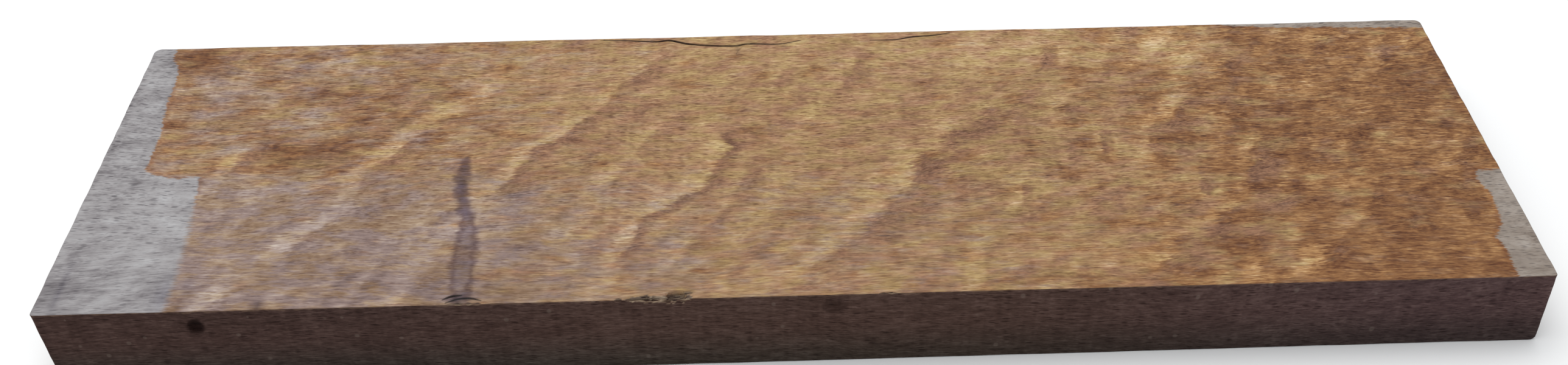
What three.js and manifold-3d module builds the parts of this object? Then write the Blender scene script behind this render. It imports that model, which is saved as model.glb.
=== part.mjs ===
// A sawn billet of figured mahogany, lying flat on its underside. One piece of wood, so one solid.
// Millimetres. +X runs along the grain to the right end, +Y across the width to the back, +Z up.
// The origin is on the underside, at the middle of the billet.

import * as THREE from "three";
import { mergeVertices } from "three/addons/utils/BufferGeometryUtils.js";
import Module from "manifold-3d";

const wasm = await Module();
wasm.setup();

// Driving dimensions of the sawn block.
const LENGTH = 610;
const WIDTH = 180;
const THICKNESS = 38; // half way along
const TAPER = 1.9; // the left end is this much thicker than the right end
const SKEW = 2.7; // each end runs this far out of square, from front to back
const LEAN = 1.5; // each end runs this far out of plumb, from top to bottom
const ARRIS = 0.6; // every sawn edge is eased by this much
const CORNER_RADII = { frontLeft: 1.5, frontRight: 1.5, backRight: 3, backLeft: 3.5 };

const FRONT = -WIDTH / 2;
const RIGHT = LENGTH / 2;
const CLEAR = 2; // how far each cutter stands out of the wood

// The surface of the sawn block

const thicknessAt = (x) => THICKNESS - (TAPER * x) / LENGTH;

// A point of a true rectangular block, moved to where the saw really left it.
function asSawn(x, y, z) {
  const up = z / THICKNESS;
  const sawnX = x + (SKEW * y) / WIDTH + LEAN * (0.5 - up);
  return [sawnX, y, up * thicknessAt(sawnX)];
}

// The plan outline: straight sides joined by an arc at each corner.
function planOutline() {
  const [r1, r2, r3, r4] = [
    CORNER_RADII.frontLeft,
    CORNER_RADII.frontRight,
    CORNER_RADII.backRight,
    CORNER_RADII.backLeft,
  ];
  const back = -FRONT;
  const left = -RIGHT;
  const quarter = Math.PI / 2;
  const outline = new THREE.Shape();
  outline.absarc(left + r1, FRONT + r1, r1, 2 * quarter, 3 * quarter);
  outline.absarc(RIGHT - r2, FRONT + r2, r2, 3 * quarter, 4 * quarter);
  outline.absarc(RIGHT - r3, back - r3, r3, 0, quarter);
  outline.absarc(left + r4, back - r4, r4, quarter, 2 * quarter);
  return outline;
}

function sawnBlock() {
  const block = new THREE.ExtrudeGeometry(planOutline(), {
    depth: THICKNESS - 2 * ARRIS,
    bevelThickness: ARRIS,
    bevelSize: ARRIS,
    bevelOffset: -ARRIS,
    bevelSegments: 3,
    curveSegments: 5,
  });
  block.translate(0, 0, ARRIS);
  const position = block.getAttribute("position");
  for (let i = 0; i < position.count; i += 1) {
    position.setXYZ(i, ...asSawn(position.getX(i), position.getY(i), position.getZ(i)));
  }
  return block;
}

// Cutters

// A closed body through rings that all have the same number of points, with a flat cap at each end.
// A ring's points turn by the right-hand rule about the way from the first ring to the last.
function loft(rings) {
  const size = rings[0].length;
  const positions = rings.flat(2);
  const index = [];
  for (let ring = 0; ring + 1 < rings.length; ring += 1) {
    for (let side = 0; side < size; side += 1) {
      const a = ring * size + side;
      const b = ring * size + ((side + 1) % size);
      index.push(a, b, b + size, a, b + size, a + size);
    }
  }
  const last = (rings.length - 1) * size;
  for (let side = 1; side + 1 < size; side += 1) {
    index.push(0, side + 1, side, last, last + side, last + side + 1);
  }
  const body = new THREE.BufferGeometry();
  body.setAttribute("position", new THREE.Float32BufferAttribute(positions, 3));
  body.setIndex(index);
  return body;
}

// A V-shaped split down into the top face. It follows a smooth curve through [x, y] points, is
// widest and deepest at its middle, and closes to nothing at both ends.
const SPLIT_STATIONS_PER_POINT = 5;
const SPLIT_SHARE_AT_ENDS = 0.12;

function split({ through, width, depth }) {
  const route = new THREE.CatmullRomCurve3(through.map(([x, y]) => new THREE.Vector3(x, y, 0)));
  const stations = SPLIT_STATIONS_PER_POINT * through.length;
  const rings = [];
  for (let i = 0; i <= stations; i += 1) {
    const along = i / stations;
    const open = Math.max(SPLIT_SHARE_AT_ENDS, Math.sin(Math.PI * along));
    const { x, y } = route.getPointAt(along);
    const { x: ux, y: uy } = route.getTangentAt(along);
    const top = thicknessAt(x);
    const reach = (width / 2) * open * (1 + CLEAR / (depth * open));
    rings.push([
      [x + uy * reach, y - ux * reach, top + CLEAR],
      [x, y, top - depth * open],
      [x - uy * reach, y + ux * reach, top + CLEAR],
    ]);
  }
  return loft(rings);
}

// A strip torn off the front arris. Each station is [x, inward, down]: how far the loss reaches
// in over the top face, and how far it reaches down the front face.
function tear(stations) {
  const rings = stations.map(([x, inward, down]) => {
    const top = thicknessAt(x);
    const slope = down / inward;
    return [
      [x, FRONT - CLEAR, top + CLEAR],
      [x, FRONT - CLEAR, top - down - CLEAR * slope],
      [x, FRONT + inward + CLEAR / slope, top + CLEAR],
    ];
  });
  return loft(rings);
}

// A rounded hollow: an ellipsoid with the given centre and half sizes.
function hollow({ at, half }) {
  const body = new THREE.SphereGeometry(1, 14, 10);
  body.scale(...half);
  body.translate(...at);
  return body;
}

// The right end's foot is worn round where it meets the front face, and the wear fades out
// along the end. Each station is [distance from the front face, radius].
const WEAR = [[-CLEAR, 4], [4, 3.2], [8, 1.6], [16, 0.1]];
const WEAR_ARC_STEPS = 6;

function wornFoot() {
  const foot = asSawn(RIGHT, FRONT, 0)[0];
  const rings = WEAR.map(([fromFront, radius]) => {
    const y = FRONT + fromFront;
    const ring = [[foot - radius, y, -CLEAR]];
    for (let i = 0; i <= WEAR_ARC_STEPS; i += 1) {
      const angle = (i / WEAR_ARC_STEPS) * (Math.PI / 2);
      ring.push([
        foot - radius * (1 - Math.sin(angle)),
        y,
        radius * (1 - Math.cos(angle)),
      ]);
    }
    ring.push([foot + CLEAR, y, radius], [foot + CLEAR, y, -CLEAR]);
    return ring;
  });
  return loft(rings);
}

// Where the wood is split, torn and hollow

// Two long splits run beside the back edge, and one short one branches off towards the middle.
const SPLITS = [
  {
    through: [
      [-90, 88.6], [-76, 87.4], [-65, 86.3], [-58, 87], [-50, 84.1], [-40, 82.3],
      [-27, 81.4], [-20, 82.8], [-6, 82], [5, 84.8],
    ],
    width: 1.1,
    depth: 5,
  },
  { through: [[38, 83.4], [50, 83.4], [58, 85.3], [68, 86.2], [77, 88]], width: 0.6, depth: 3 },
  { through: [[-22.5, 81.5], [-25, 78], [-27, 73]], width: 0.4, depth: 1.5 },
];

// Curved shakes at the foot of the dark streak, one inside the other.
const SHAKES = [
  { through: [[-144.5, -87.2], [-141, -85.4], [-137, -84.9]], width: 0.7, depth: 1.2 },
  { through: [[-143, -89], [-138, -86.9], [-133, -86.8], [-129, -88.2]], width: 0.5, depth: 0.8 },
];

// Strips lost from the front arris: a bite below the streak, a long sliver that ends in a pit,
// and two small nicks.
const TEARS = [
  [[-144, 0.3, 0.2], [-141, 0.9, 0.8], [-136, 1.2, 1.0], [-131, 0.8, 0.9], [-128, 0.3, 0.2]],
  [
    [-78, 0.3, 0.3], [-73, 1.1, 0.9], [-67, 1.8, 1.4], [-61, 2.2, 1.9], [-56, 1.7, 2.3],
    [-54, 3.2, 2.9], [-51, 3.6, 2.4], [-48.5, 2.2, 2.6], [-46, 1.9, 1.2], [-43, 0.3, 0.3],
  ],
  [[29, 0.3, 0.3], [32, 0.9, 0.8], [36, 0.7, 1.0], [39, 0.3, 0.3]],
  [[176, 0.2, 0.2], [179, 0.7, 0.6], [183, 0.2, 0.2]],
];

// The pit at the end of the long sliver, and the two small knots in the front face.
const HOLLOWS = [
  { at: [-51.5, FRONT + 2.5, THICKNESS - 1], half: [4.2, 2, 2.2] },
  { at: [-47, FRONT + 3.4, THICKNESS + 0.3], half: [2.6, 0.8, 1.4] },
  { at: [-243.5, FRONT - 1, 30], half: [3.6, 1.8, 4.2] },
  { at: [12, FRONT - 1.6, 31.5], half: [5.5, 2, 4.5] },
];

// Joining and cutting

function toSolid(geometry) {
  const bare = geometry.clone();
  bare.deleteAttribute("normal");
  bare.deleteAttribute("uv");
  const merged = mergeVertices(bare, 1e-4);
  return new wasm.Manifold(
    new wasm.Mesh({
      numProp: 3,
      vertProperties: new Float32Array(merged.getAttribute("position").array),
      triVerts: new Uint32Array(merged.index.array),
    }),
  );
}

function toGeometry(solid) {
  const mesh = solid.getMesh();
  const geometry = new THREE.BufferGeometry();
  geometry.setAttribute("position", new THREE.BufferAttribute(mesh.vertProperties, 3));
  geometry.setIndex(new THREE.BufferAttribute(mesh.triVerts, 1));
  geometry.computeVertexNormals();
  return geometry;
}

function billetGeometry() {
  const cutters = [
    ...[...SPLITS, ...SHAKES].map(split),
    ...TEARS.map(tear),
    ...HOLLOWS.map(hollow),
    wornFoot(),
  ];
  const cut = cutters.reduce(
    (wood, cutter) => wood.subtract(toSolid(cutter)),
    toSolid(sawnBlock()),
  );
  return toGeometry(cut);
}

const mahogany = new THREE.MeshStandardMaterial({
  color: new THREE.Color(0x9c7249),
  roughness: 0.6,
  metalness: 0,
});

const billet = new THREE.Mesh(billetGeometry(), mahogany);
billet.name = "billet";

const part = new THREE.Group();
part.name = "mahogany_billet";
part.add(billet);

export default part;
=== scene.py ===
# %% [markdown]
# # A billet of figured mahogany
#
# A billet is a short thick board that is sawn from a log and kept for carving or for an
# instrument. This one lies flat. Its top is planed, and somebody has wiped water over the middle
# so that the figure shows. Its sides, ends and underside are still as the saw left them.
#
# The whole object is one piece of wood, so it is one mesh. The work goes in this order: the
# camera, the shape of the block, the damage, the way the fibres run, the materials, the light.

# %% Load the frame
import math

import bpy
import numpy as np
from mathutils import Matrix, Vector


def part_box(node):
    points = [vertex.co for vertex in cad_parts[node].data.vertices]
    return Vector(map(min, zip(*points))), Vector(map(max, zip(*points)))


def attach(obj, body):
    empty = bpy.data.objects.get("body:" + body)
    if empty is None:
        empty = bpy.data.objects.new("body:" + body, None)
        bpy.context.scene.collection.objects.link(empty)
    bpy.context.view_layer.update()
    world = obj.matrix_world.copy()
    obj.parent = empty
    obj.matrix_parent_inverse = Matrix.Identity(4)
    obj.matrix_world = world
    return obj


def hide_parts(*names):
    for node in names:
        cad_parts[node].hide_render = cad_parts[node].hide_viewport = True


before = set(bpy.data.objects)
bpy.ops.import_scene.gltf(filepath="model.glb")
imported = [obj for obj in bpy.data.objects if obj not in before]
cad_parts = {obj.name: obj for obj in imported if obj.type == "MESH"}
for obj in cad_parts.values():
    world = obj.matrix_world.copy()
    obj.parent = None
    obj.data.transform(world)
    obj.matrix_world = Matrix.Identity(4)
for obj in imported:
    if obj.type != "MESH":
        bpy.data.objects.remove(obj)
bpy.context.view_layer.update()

MM = 0.001
WOOD_NODE = "billet"
low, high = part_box(WOOD_NODE)
print("frame:", sorted(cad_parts), "from", [round(v / MM, 2) for v in low],
      "to", [round(v / MM, 2) for v in high], "mm")

# %% [markdown]
# ## The camera
#
# The photograph looks down on the board from the front, about 40 degrees below level. Six corners
# of the board show in it. They were solved for the lens, the place and the three angles of the
# camera, and those few numbers are repeated here. Yaw turns the view to the right, pitch tips it
# down, and roll turns the picture about its own middle. The lens is given for a sensor 36 mm wide.
# A matrix product is the clearest way to join the three turns, because the order shows.

# %% Place the camera
LENS_MM = 37.26
SENSOR_MM = 36.0
CLIP_START = 0.01
EYE_MM = (-17.35, -552.59, 491.42)
PITCH, YAW, ROLL = (math.radians(angle) for angle in (40.4225, 1.1805, 0.8056))

camera_data = bpy.data.cameras.new("photo_camera")
camera_data.lens = LENS_MM
camera_data.sensor_width = SENSOR_MM
camera_data.clip_start = CLIP_START
camera = bpy.data.objects.new("photo_camera", camera_data)
camera.matrix_world = (
    Matrix.Translation([v * MM for v in EYE_MM])
    @ Matrix.Rotation(-YAW, 4, "Z")
    @ Matrix.Rotation(math.pi / 2 - PITCH, 4, "X")
    @ Matrix.Rotation(-ROLL, 4, "Z")
)
bpy.context.scene.collection.objects.link(camera)
bpy.context.scene.camera = camera
print("camera:", LENS_MM, "mm lens at", EYE_MM)

# %% [markdown]
# ## The sawn block
#
# A real board is never a true box. This one is 1.9 mm thicker at its left end, its ends run
# 2.7 mm out of square from front to back, and they lean 1.5 mm from top to bottom. Its edges are
# eased by 0.6 mm, and its four corners are worn round in plan.
#
# The block could be a cube with modifiers. Here it is worked out with numpy instead, because the
# splits and tears need points just where they run. We think of a lattice of points that fills the
# block, keep only the points on its skin, and move those onto the real shape. All lengths are in
# millimetres until the mesh is made.

# %% Driving dimensions
LENGTH = 610.0
WIDTH = round((high.y - low.y) / MM, 2)
THICKNESS = 38.0
TAPER = 1.9
SKEW = 2.7
LEAN = 1.5
ARRIS = 0.6
CORNERS = {"front left": 1.5, "front right": 1.5, "back right": 3.0, "back left": 3.5}
FRONT = -WIDTH / 2
BACK = WIDTH / 2
LEFT = -LENGTH / 2
RIGHT = LENGTH / 2


def thickness_at(x):
    """Half-way along it is THICKNESS, and it falls evenly by TAPER from the left to the right."""
    return THICKNESS - TAPER * x / LENGTH


def as_sawn(x, y, z):
    """Moves a point of a true block: along X by its share of the skew and the lean, and along Z
    so that the top of the block comes to thickness_at(x)."""
    up = z / THICKNESS
    sawn_x = x + SKEW * y / WIDTH + LEAN * (0.5 - up)
    return sawn_x, y, up * thickness_at(sawn_x)


print("block:", LENGTH, "x", WIDTH, "x", THICKNESS, "mm, left end", thickness_at(LEFT), "mm thick")

# %% [markdown]
# ## Where the points go
#
# A plain stretch of board needs few points, and a split needs many. So each direction of the
# lattice has its own list of stations. The gap between them is wide by default and closes up in
# the stretches that are named here. The first stations at each end lie where a quarter circle of
# equal steps will need them, so that the arris comes out evenly round.

# %% Stations along each direction
COARSE = 4  # the underside has one cell for each 4 x 4 cells of the top
GAP_GROWTH = 0.35  # how much a gap widens for each mm outside a stretch
SAMPLES = 4001
ARRIS_STEPS = ARRIS * (1 - np.tan(np.radians([45, 30, 15])))
SPLIT_ROW = 84.9  # y of the row of points that is bent into the splits


def gaps(at, widest, stretches):
    """The gap wanted at each place: the widest one, or less near a stretch. Inside a stretch
    (middle, reach, gap) it is that gap, and outside it grows with the distance."""
    wanted = np.full_like(at, widest)
    for middle, reach, gap in stretches:
        outside = np.maximum(abs(at - middle) - reach, 0)
        wanted = np.minimum(wanted, gap + GAP_GROWTH * outside)
    return wanted


def stations(start, end, widest, stretches):
    """Places from start to end. One over the gap is how many stations a millimetre holds, so its
    running sum counts them, and the sum is read backwards at whole numbers."""
    at = np.linspace(start, end, SAMPLES)
    per_mm = 1 / gaps(at, widest, stretches)
    counted = np.concatenate([[0], np.cumsum((per_mm[1:] + per_mm[:-1]) / 2 * np.diff(at))])
    cells = COARSE * max(1, round(counted[-1] / COARSE))
    return np.interp(np.linspace(0, counted[-1], cells + 1), counted, at)


def with_arrises(inner):
    """Adds the stations of the rounded edge to both ends of a list."""
    first = inner[0] - ARRIS + ARRIS_STEPS
    last = inner[-1] + ARRIS - ARRIS_STEPS[::-1]
    return np.concatenate([first, inner, last])


print("each arris has", len(ARRIS_STEPS), "steps")

# %% Lay out the stations
# middle, reach and gap of each stretch
x_stretches = [
    (LEFT, 4, 0.6), (-243.5, 4, 0.9), (-136, 9, 0.6), (-61, 18, 0.8), (-25, 3, 0.4),
    (12, 6, 1.0), (34, 6, 0.8), (179.5, 4, 0.8), (RIGHT, 5, 0.6),
]
x_stations = with_arrises(stations(LEFT + ARRIS, RIGHT - ARRIS, 2.0, x_stretches))
y_stretches = [(FRONT, 6.5, 0.34), (SPLIT_ROW, 1.6, 0.22), (BACK, 3, 0.8)]
y_stations = with_arrises(np.concatenate([
    stations(FRONT + ARRIS, SPLIT_ROW, 1.8, y_stretches)[:-1],
    stations(SPLIT_ROW, BACK - ARRIS, 1.8, y_stretches),
]))
z_stretches = [(0, 2, 1.0), (THICKNESS, 3, 0.6), (30.5, 3.5, 1.3)]
z_stations = with_arrises(stations(ARRIS, THICKNESS - ARRIS, 3.6, z_stretches))
print("stations:", len(x_stations), "x", len(y_stations), "x", len(z_stations))

# %% [markdown]
# ## Faces between the points
#
# Only the points on the skin of the lattice are kept, and they are numbered in order. Each side is
# then a two-way table of point numbers, and four neighbours in it make one face.

# %% Number the skin
RIM = len(ARRIS_STEPS)


def skin_numbers(shape):
    """Numbers the lattice points on the skin, and leaves -1 everywhere else. Inside the rim of
    the underside only every COARSE-th point is kept."""
    skin = np.zeros(shape, bool)
    skin[[0, -1], :, :] = True
    skin[:, [0, -1], :] = True
    skin[:, :, -1] = True
    kept = np.zeros(shape[:2], bool)
    kept[RIM:-RIM:COARSE, RIM:-RIM:COARSE] = True
    kept[[*range(RIM + 1), *range(-RIM - 1, 0)], :] = True
    kept[:, [*range(RIM + 1), *range(-RIM - 1, 0)]] = True
    skin[:, :, 0] = kept
    return np.where(skin, np.cumsum(skin).reshape(shape) - 1, -1)


numbers = skin_numbers((len(x_stations), len(y_stations), len(z_stations)))
print("points on the skin:", numbers.max() + 1)

# %% [markdown]
# The order of the corners decides which way a face looks, so each table is turned until its first
# direction, its second direction and the way out of the wood follow the right-hand rule.
#
# Nobody looks closely at the underside, so there the fine rim is joined to cells four times as
# wide. A cell on the rim's inner edge simply takes in all the fine points on that edge.

# %% Make the faces
def cells(table):
    """One face for each four neighbours in a table of point numbers."""
    corners = [table[:-1, :-1], table[1:, :-1], table[1:, 1:], table[:-1, 1:]]
    return np.stack(corners, axis=-1).reshape(-1, 4).tolist()


def wide_cells(table):
    """Faces of COARSE x COARSE cells. Those along an edge of the table also hold the fine points
    of that edge. The table is turned by a quarter four times, so one rule serves all edges."""
    faces = cells(table[COARSE:-COARSE:COARSE, COARSE:-COARSE:COARSE])
    for turn in range(4):
        side = np.rot90(table, turn)
        net = side[::COARSE, ::COARSE]
        first = np.arange(1, len(net) - 2)[:, None] * COARSE
        edge = side[first + np.arange(COARSE + 1), 0]
        faces += np.column_stack([edge, net[2:-1, 1], net[1:-2, 1]]).tolist()
        faces.append([*side[: COARSE + 1, 0], net[1, 1], *side[0, COARSE:0:-1]])
    return faces


under = numbers[:, :, 0].T
sides = {
    "top": cells(numbers[:, :, -1]),
    "front": cells(numbers[:, 0, :]),
    "back": cells(numbers[:, -1, :].T),
    "right": cells(numbers[-1, :, :]),
    "left": cells(numbers[0, :, :].T),
    "under": (
        cells(under[: RIM + 1, :]) + cells(under[-RIM - 1:, :])
        + cells(under[RIM:-RIM, : RIM + 1]) + cells(under[RIM:-RIM, -RIM - 1:])
        + wide_cells(under[RIM:-RIM, RIM:-RIM])
    ),
}
triangles = sum(len(face) - 2 for faces in sides.values() for face in faces)
print("faces:", {name: len(faces) for name, faces in sides.items()}, "triangles:", triangles)

# %% [markdown]
# ## Helpers that draw curves and wander
#
# Splits and streaks follow a few points that were read from the photograph, with a smooth curve
# through them. Wandering noise makes edges uneven. It is a sum of sine waves with random
# directions and starts, which is smooth, has no seams and comes out the same each time.

# %% Curves
def smooth_path(points, per_span=8):
    """A Catmull-Rom curve: between two points, a cubic whose slope at each point is half the step
    from the point before it to the point after it."""
    known = np.array(points, float)
    known = np.vstack([2 * known[0] - known[1], known, 2 * known[-1] - known[-2]])
    t = np.linspace(0, 1, per_span, endpoint=False)[None, :, None]
    a, b, c, d = (known[i: len(known) - 3 + i, None, :] for i in range(4))
    curve = b + t * (c - a) / 2 + t**2 * (a - 2.5 * b + 2 * c - d / 2)
    curve = curve + t**3 * (1.5 * b - a / 2 - 1.5 * c + d / 2)
    return np.vstack([curve.reshape(-1, known.shape[1]), known[-2]])


def beside(path, x, y):
    """For each point, the distance to the nearest piece of a path, and how far along the path
    that is, from 0 to 1."""
    nearest = np.full(x.shape, np.inf)
    share = np.zeros(x.shape)
    pieces = len(path) - 1
    for number, ((x0, y0), (x1, y1)) in enumerate(zip(path[:-1], path[1:])):
        dx, dy = x1 - x0, y1 - y0
        along = np.clip(((x - x0) * dx + (y - y0) * dy) / (dx * dx + dy * dy), 0, 1)
        distance = np.hypot(x - x0 - along * dx, y - y0 - along * dy)
        closer = distance < nearest
        nearest = np.where(closer, distance, nearest)
        share = np.where(closer, (number + along) / pieces, share)
    return nearest, share


print("helpers: smooth_path, beside")


# %% Noise and steps
def wander(x, y, size, seed, waves=28):
    """Smooth noise with mean 0 and spread 1. Each wave is about size[0] long along X and size[1]
    along Y."""
    draw = np.random.default_rng(seed)
    total = np.zeros(np.broadcast(x, y).shape)
    for angle, stretch, start in draw.uniform((0, 0.6, 0), (2 * np.pi, 1.7, 2 * np.pi), (waves, 3)):
        turns = np.cos(angle) * x / (size[0] * stretch) + np.sin(angle) * y / (size[1] * stretch)
        total += np.cos(2 * np.pi * turns + start)
    return total * math.sqrt(2 / waves)


def ease(value, start, end):
    """0 before start, 1 after end, and an S-shaped step of 3t^2 - 2t^3 between."""
    t = np.clip((value - start) / (end - start), 0, 1)
    return t * t * (3 - 2 * t)


print("helpers: wander, ease")

# %% [markdown]
# ## Where the wood is split and torn
#
# Two long splits run beside the back edge, and a short one branches off towards the middle. Two
# curved shakes lie at the foot of a dark streak. Strips are lost from the front arris, one of
# them with a pit at its end, and two small knots sit in the front face. The right end's foot is
# worn round. These values are the same as the solid model's, in millimetres.

# %% Splits, tears and hollows
SPLITS = [
    {"through": [(-90, 88.6), (-76, 87.4), (-65, 86.3), (-58, 87), (-50, 84.1), (-40, 82.3),
                 (-27, 81.4), (-20, 82.8), (-6, 82), (5, 84.8)], "width": 1.1, "depth": 5.0},
    {"through": [(38, 83.4), (50, 83.4), (58, 85.3), (68, 86.2), (77, 88)],
     "width": 0.6, "depth": 3.0},
]
# faint is how far a hairline's painted shade stays below that of an open split
HAIRLINES = [
    {"through": [(-22.5, 81.5), (-25, 78), (-27, 73)], "width": 0.5, "depth": 0.5, "faint": 0.4},
    {"through": [(-144.5, -87.2), (-141, -85.4), (-137, -84.9)], "width": 0.9, "depth": 1.2},
    {"through": [(-143, -89), (-138, -86.9), (-133, -86.8), (-129, -88.2)],
     "width": 0.7, "depth": 0.8},
]
# each station of a tear is its x, its reach over the top face and its reach down the front
TEARS = [
    [(-144, 0.3, 0.2), (-141, 0.9, 0.8), (-136, 1.2, 1.0), (-131, 0.8, 0.9), (-128, 0.3, 0.2)],
    [(-78, 0.3, 0.3), (-73, 1.1, 0.9), (-67, 1.8, 1.4), (-61, 2.2, 1.9), (-56, 1.7, 2.3),
     (-54, 3.2, 2.9), (-51, 3.6, 2.4), (-48.5, 2.2, 2.6), (-46, 1.9, 1.2), (-43, 0.3, 0.3)],
    [(29, 0.3, 0.3), (32, 0.9, 0.8), (36, 0.7, 1.0), (39, 0.3, 0.3)],
    [(176, 0.2, 0.2), (179, 0.7, 0.6), (183, 0.2, 0.2)],
]
# middle and half sizes
PITS = [((-51.5, -87.5, 37.0), (4.2, 2.0, 2.2)), ((-47.0, -86.6, 38.3), (2.6, 0.8, 1.4))]
# middle, half sizes and darkness
KNOTS = [
    ((-243.5, -91.0, 30.0), (3.6, 1.8, 4.2), 1.0),
    ((12.0, -91.6, 31.5), (5.5, 2.0, 4.5), 0.45),
]
# the radius of the worn foot at each distance from the front face
WEAR_FROM_FRONT = (0, 4, 8, 16)
WEAR_RADIUS = (4.0, 3.2, 1.6, 0.1)
print("damage:", len(SPLITS), "splits,", len(HAIRLINES), "hairlines,", len(TEARS), "tears")

# %% [markdown]
# ## From the lattice to the board
#
# A split is only as sharp as the row of points that lies in it. So before anything else, the rows
# near the back edge are bent until one of them runs along the splits. The rows between it and the
# edge share what room is left, and so do the rows on its other side.

# %% Bend the rows
EDGE_ROW = BACK - ARRIS
BEND_FROM = 66.0
BENT_STRETCH = (-130, 100)
split_paths = [smooth_path(split["through"]) for split in SPLITS]
split_line = np.vstack([
    (BENT_STRETCH[0], SPLIT_ROW), *split_paths, (BENT_STRETCH[1], SPLIT_ROW)])


def bend_rows(x, y):
    """Row SPLIT_ROW goes to the line of the splits. Rows BEND_FROM and EDGE_ROW stay, and the
    rows between keep their share of the way."""
    line = np.interp(x, split_line[:, 0], split_line[:, 1])
    inner = BEND_FROM + (y - BEND_FROM) * (line - BEND_FROM) / (SPLIT_ROW - BEND_FROM)
    outer = line + (y - SPLIT_ROW) * (EDGE_ROW - line) / (EDGE_ROW - SPLIT_ROW)
    bent = np.where(y < SPLIT_ROW, inner, outer)
    return np.where((y > BEND_FROM) & (y < EDGE_ROW), bent, y)


where = np.argwhere(numbers >= 0)
x, y, z = x_stations[where[:, 0]], y_stations[where[:, 1]], z_stations[where[:, 2]]
on_top = where[:, 2] == len(z_stations) - 1
on_front = where[:, 1] == 0
on_end = (where[:, 0] == 0) | (where[:, 0] == len(x_stations) - 1)
y = bend_rows(x, y)
print("points on the top:", int(on_top.sum()), "on the front:", int(on_front.sum()))

# %% [markdown]
# Next the corners are rounded in plan. Inside a corner's square, the larger of the two distances
# says how far out a point is, and the point keeps that distance but goes onto a circle. Last, the
# arris: a point near an edge goes onto a quarter circle, in the direction it already had. A Bevel
# modifier could round the edges too, but not by a different amount from place to place.

# %% Round the block
ARRIS_SPREAD = 0.3  # how unevenly the arris was eased, as a share of its radius
TINY = 1e-9  # keeps a length from being 0 where something is divided by it


def round_block(x, y, z, arris):
    """Rounds the skin of a true block: its corners in plan, then its arrises. Near an arris, a
    point lacks some of the radius to each of two faces. Both lacks, scaled so that together they
    are as long as the radius, give its place on the quarter circle."""
    order = ("front left", "front right", "back left", "back right")
    radius = np.choose(2 * (y > 0) + (x > 0), [CORNERS[name] for name in order])
    past_x = np.clip(1 - (LENGTH / 2 - abs(x)) / radius, 0, 1)
    past_y = np.clip(1 - (WIDTH / 2 - abs(y)) / radius, 0, 1)
    corner = (past_x > 0) & (past_y > 0)
    larger = np.maximum(past_x, past_y)
    shrink = np.where(corner, larger / np.maximum(np.hypot(past_x, past_y), TINY), 1)
    out_x = abs(x) - radius * past_x * (1 - shrink)
    out_y = abs(y) - radius * past_y * (1 - shrink)
    by_end = LENGTH / 2 - abs(x) < WIDTH / 2 - abs(y)
    way_x = np.where(corner, past_x * shrink / np.maximum(larger, TINY), by_end)
    way_y = np.where(corner, past_y * shrink / np.maximum(larger, TINY), ~by_end)
    from_side = np.minimum(LENGTH / 2 - abs(x), WIDTH / 2 - abs(y))
    from_side = np.where(corner, radius * (1 - larger), from_side)
    from_flat = np.minimum(z, THICKNESS - z)
    lack_side = np.maximum(arris - from_side, 0)
    lack_flat = np.maximum(arris - from_flat, 0)
    lack = np.maximum(np.hypot(lack_side, lack_flat), TINY)
    on_arris = (lack_side > 0) & (lack_flat > 0)
    inward = np.where(on_arris, arris - arris * lack_side / lack - from_side, 0)
    sunk = np.where(on_arris, arris - arris * lack_flat / lack - from_flat, 0)
    out_x = out_x - way_x * inward
    out_y = out_y - way_y * inward
    return np.sign(x) * out_x, np.sign(y) * out_y, np.where(z < THICKNESS / 2, z + sunk, z - sunk)


unevenness = 1 + ARRIS_SPREAD * wander(x + 3 * y, z, (34, 30), seed=11)
uneven_arris = ARRIS * np.clip(unevenness, 0.6, 1.5)
x, y, z = as_sawn(*round_block(x, y, z, uneven_arris))
print("block points:", len(x))

# %% [markdown]
# ## Cutting the damage into the points
#
# Nothing is cut away with booleans, which leave slivers and lose the numbers that each point
# carries. Each kind of damage is a rule that pushes the points that it reaches into the wood. A
# split pushes them down in a V. A tear pushes them back onto a slanting plane, whose reach over
# the top and down the front changes along the board. A pit or a knot pushes them onto the inner
# half of an ellipsoid.

# %% Open the splits
FAR = 9.0  # stands for the distance to a thing that is nowhere near
SHARE_AT_ENDS = 0.12  # how much of its width and depth a split keeps at its ends
depth_in_wood = np.zeros(len(x))
crack_gap = np.full(len(x), FAR)
lines = list(zip(split_paths, SPLITS))
lines += [(smooth_path(line["through"]), line) for line in HAIRLINES]
for path, line in lines:
    away, share = beside(path, x, y)
    opened = np.maximum(np.sin(np.pi * share), SHARE_AT_ENDS)
    half = line["width"] / 2 * opened
    depth = line["depth"] * opened * np.clip(1 - away / half, 0, 1)
    depth_in_wood = np.maximum(depth_in_wood, np.where(on_top, depth, 0))
    crack_gap = np.minimum(crack_gap, away - half + line.get("faint", 0.0))
print("pushed in by splits:", int((depth_in_wood > 0).sum()), "points")

# %% Tear the front arris
NOTHING = 1e-3  # stands for no reach at all, so that nothing is divided by 0
torn = np.zeros(len(x))
jag = 1 + 0.22 * wander(x, 0 * x, (3.5, 1), seed=21)
for tear in TEARS:
    at, inward, down = np.array(tear).T
    inward = np.maximum(np.interp(x, at, inward, 0, 0) * jag, NOTHING)
    down = np.maximum(np.interp(x, at, down, 0, 0) * jag, NOTHING)
    back_by, below = y - FRONT, thickness_at(x) - z
    lack = np.maximum(1 - back_by / inward - below / down, 0)
    push = lack / (1 / inward**2 + 1 / down**2)
    push *= 1 + 0.3 * wander(x, back_by - below, (9, 0.9), seed=22)
    y = y + push / inward
    z = z - push / down
    torn = np.maximum(torn, ease(push, 0.02, 0.2))

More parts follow.
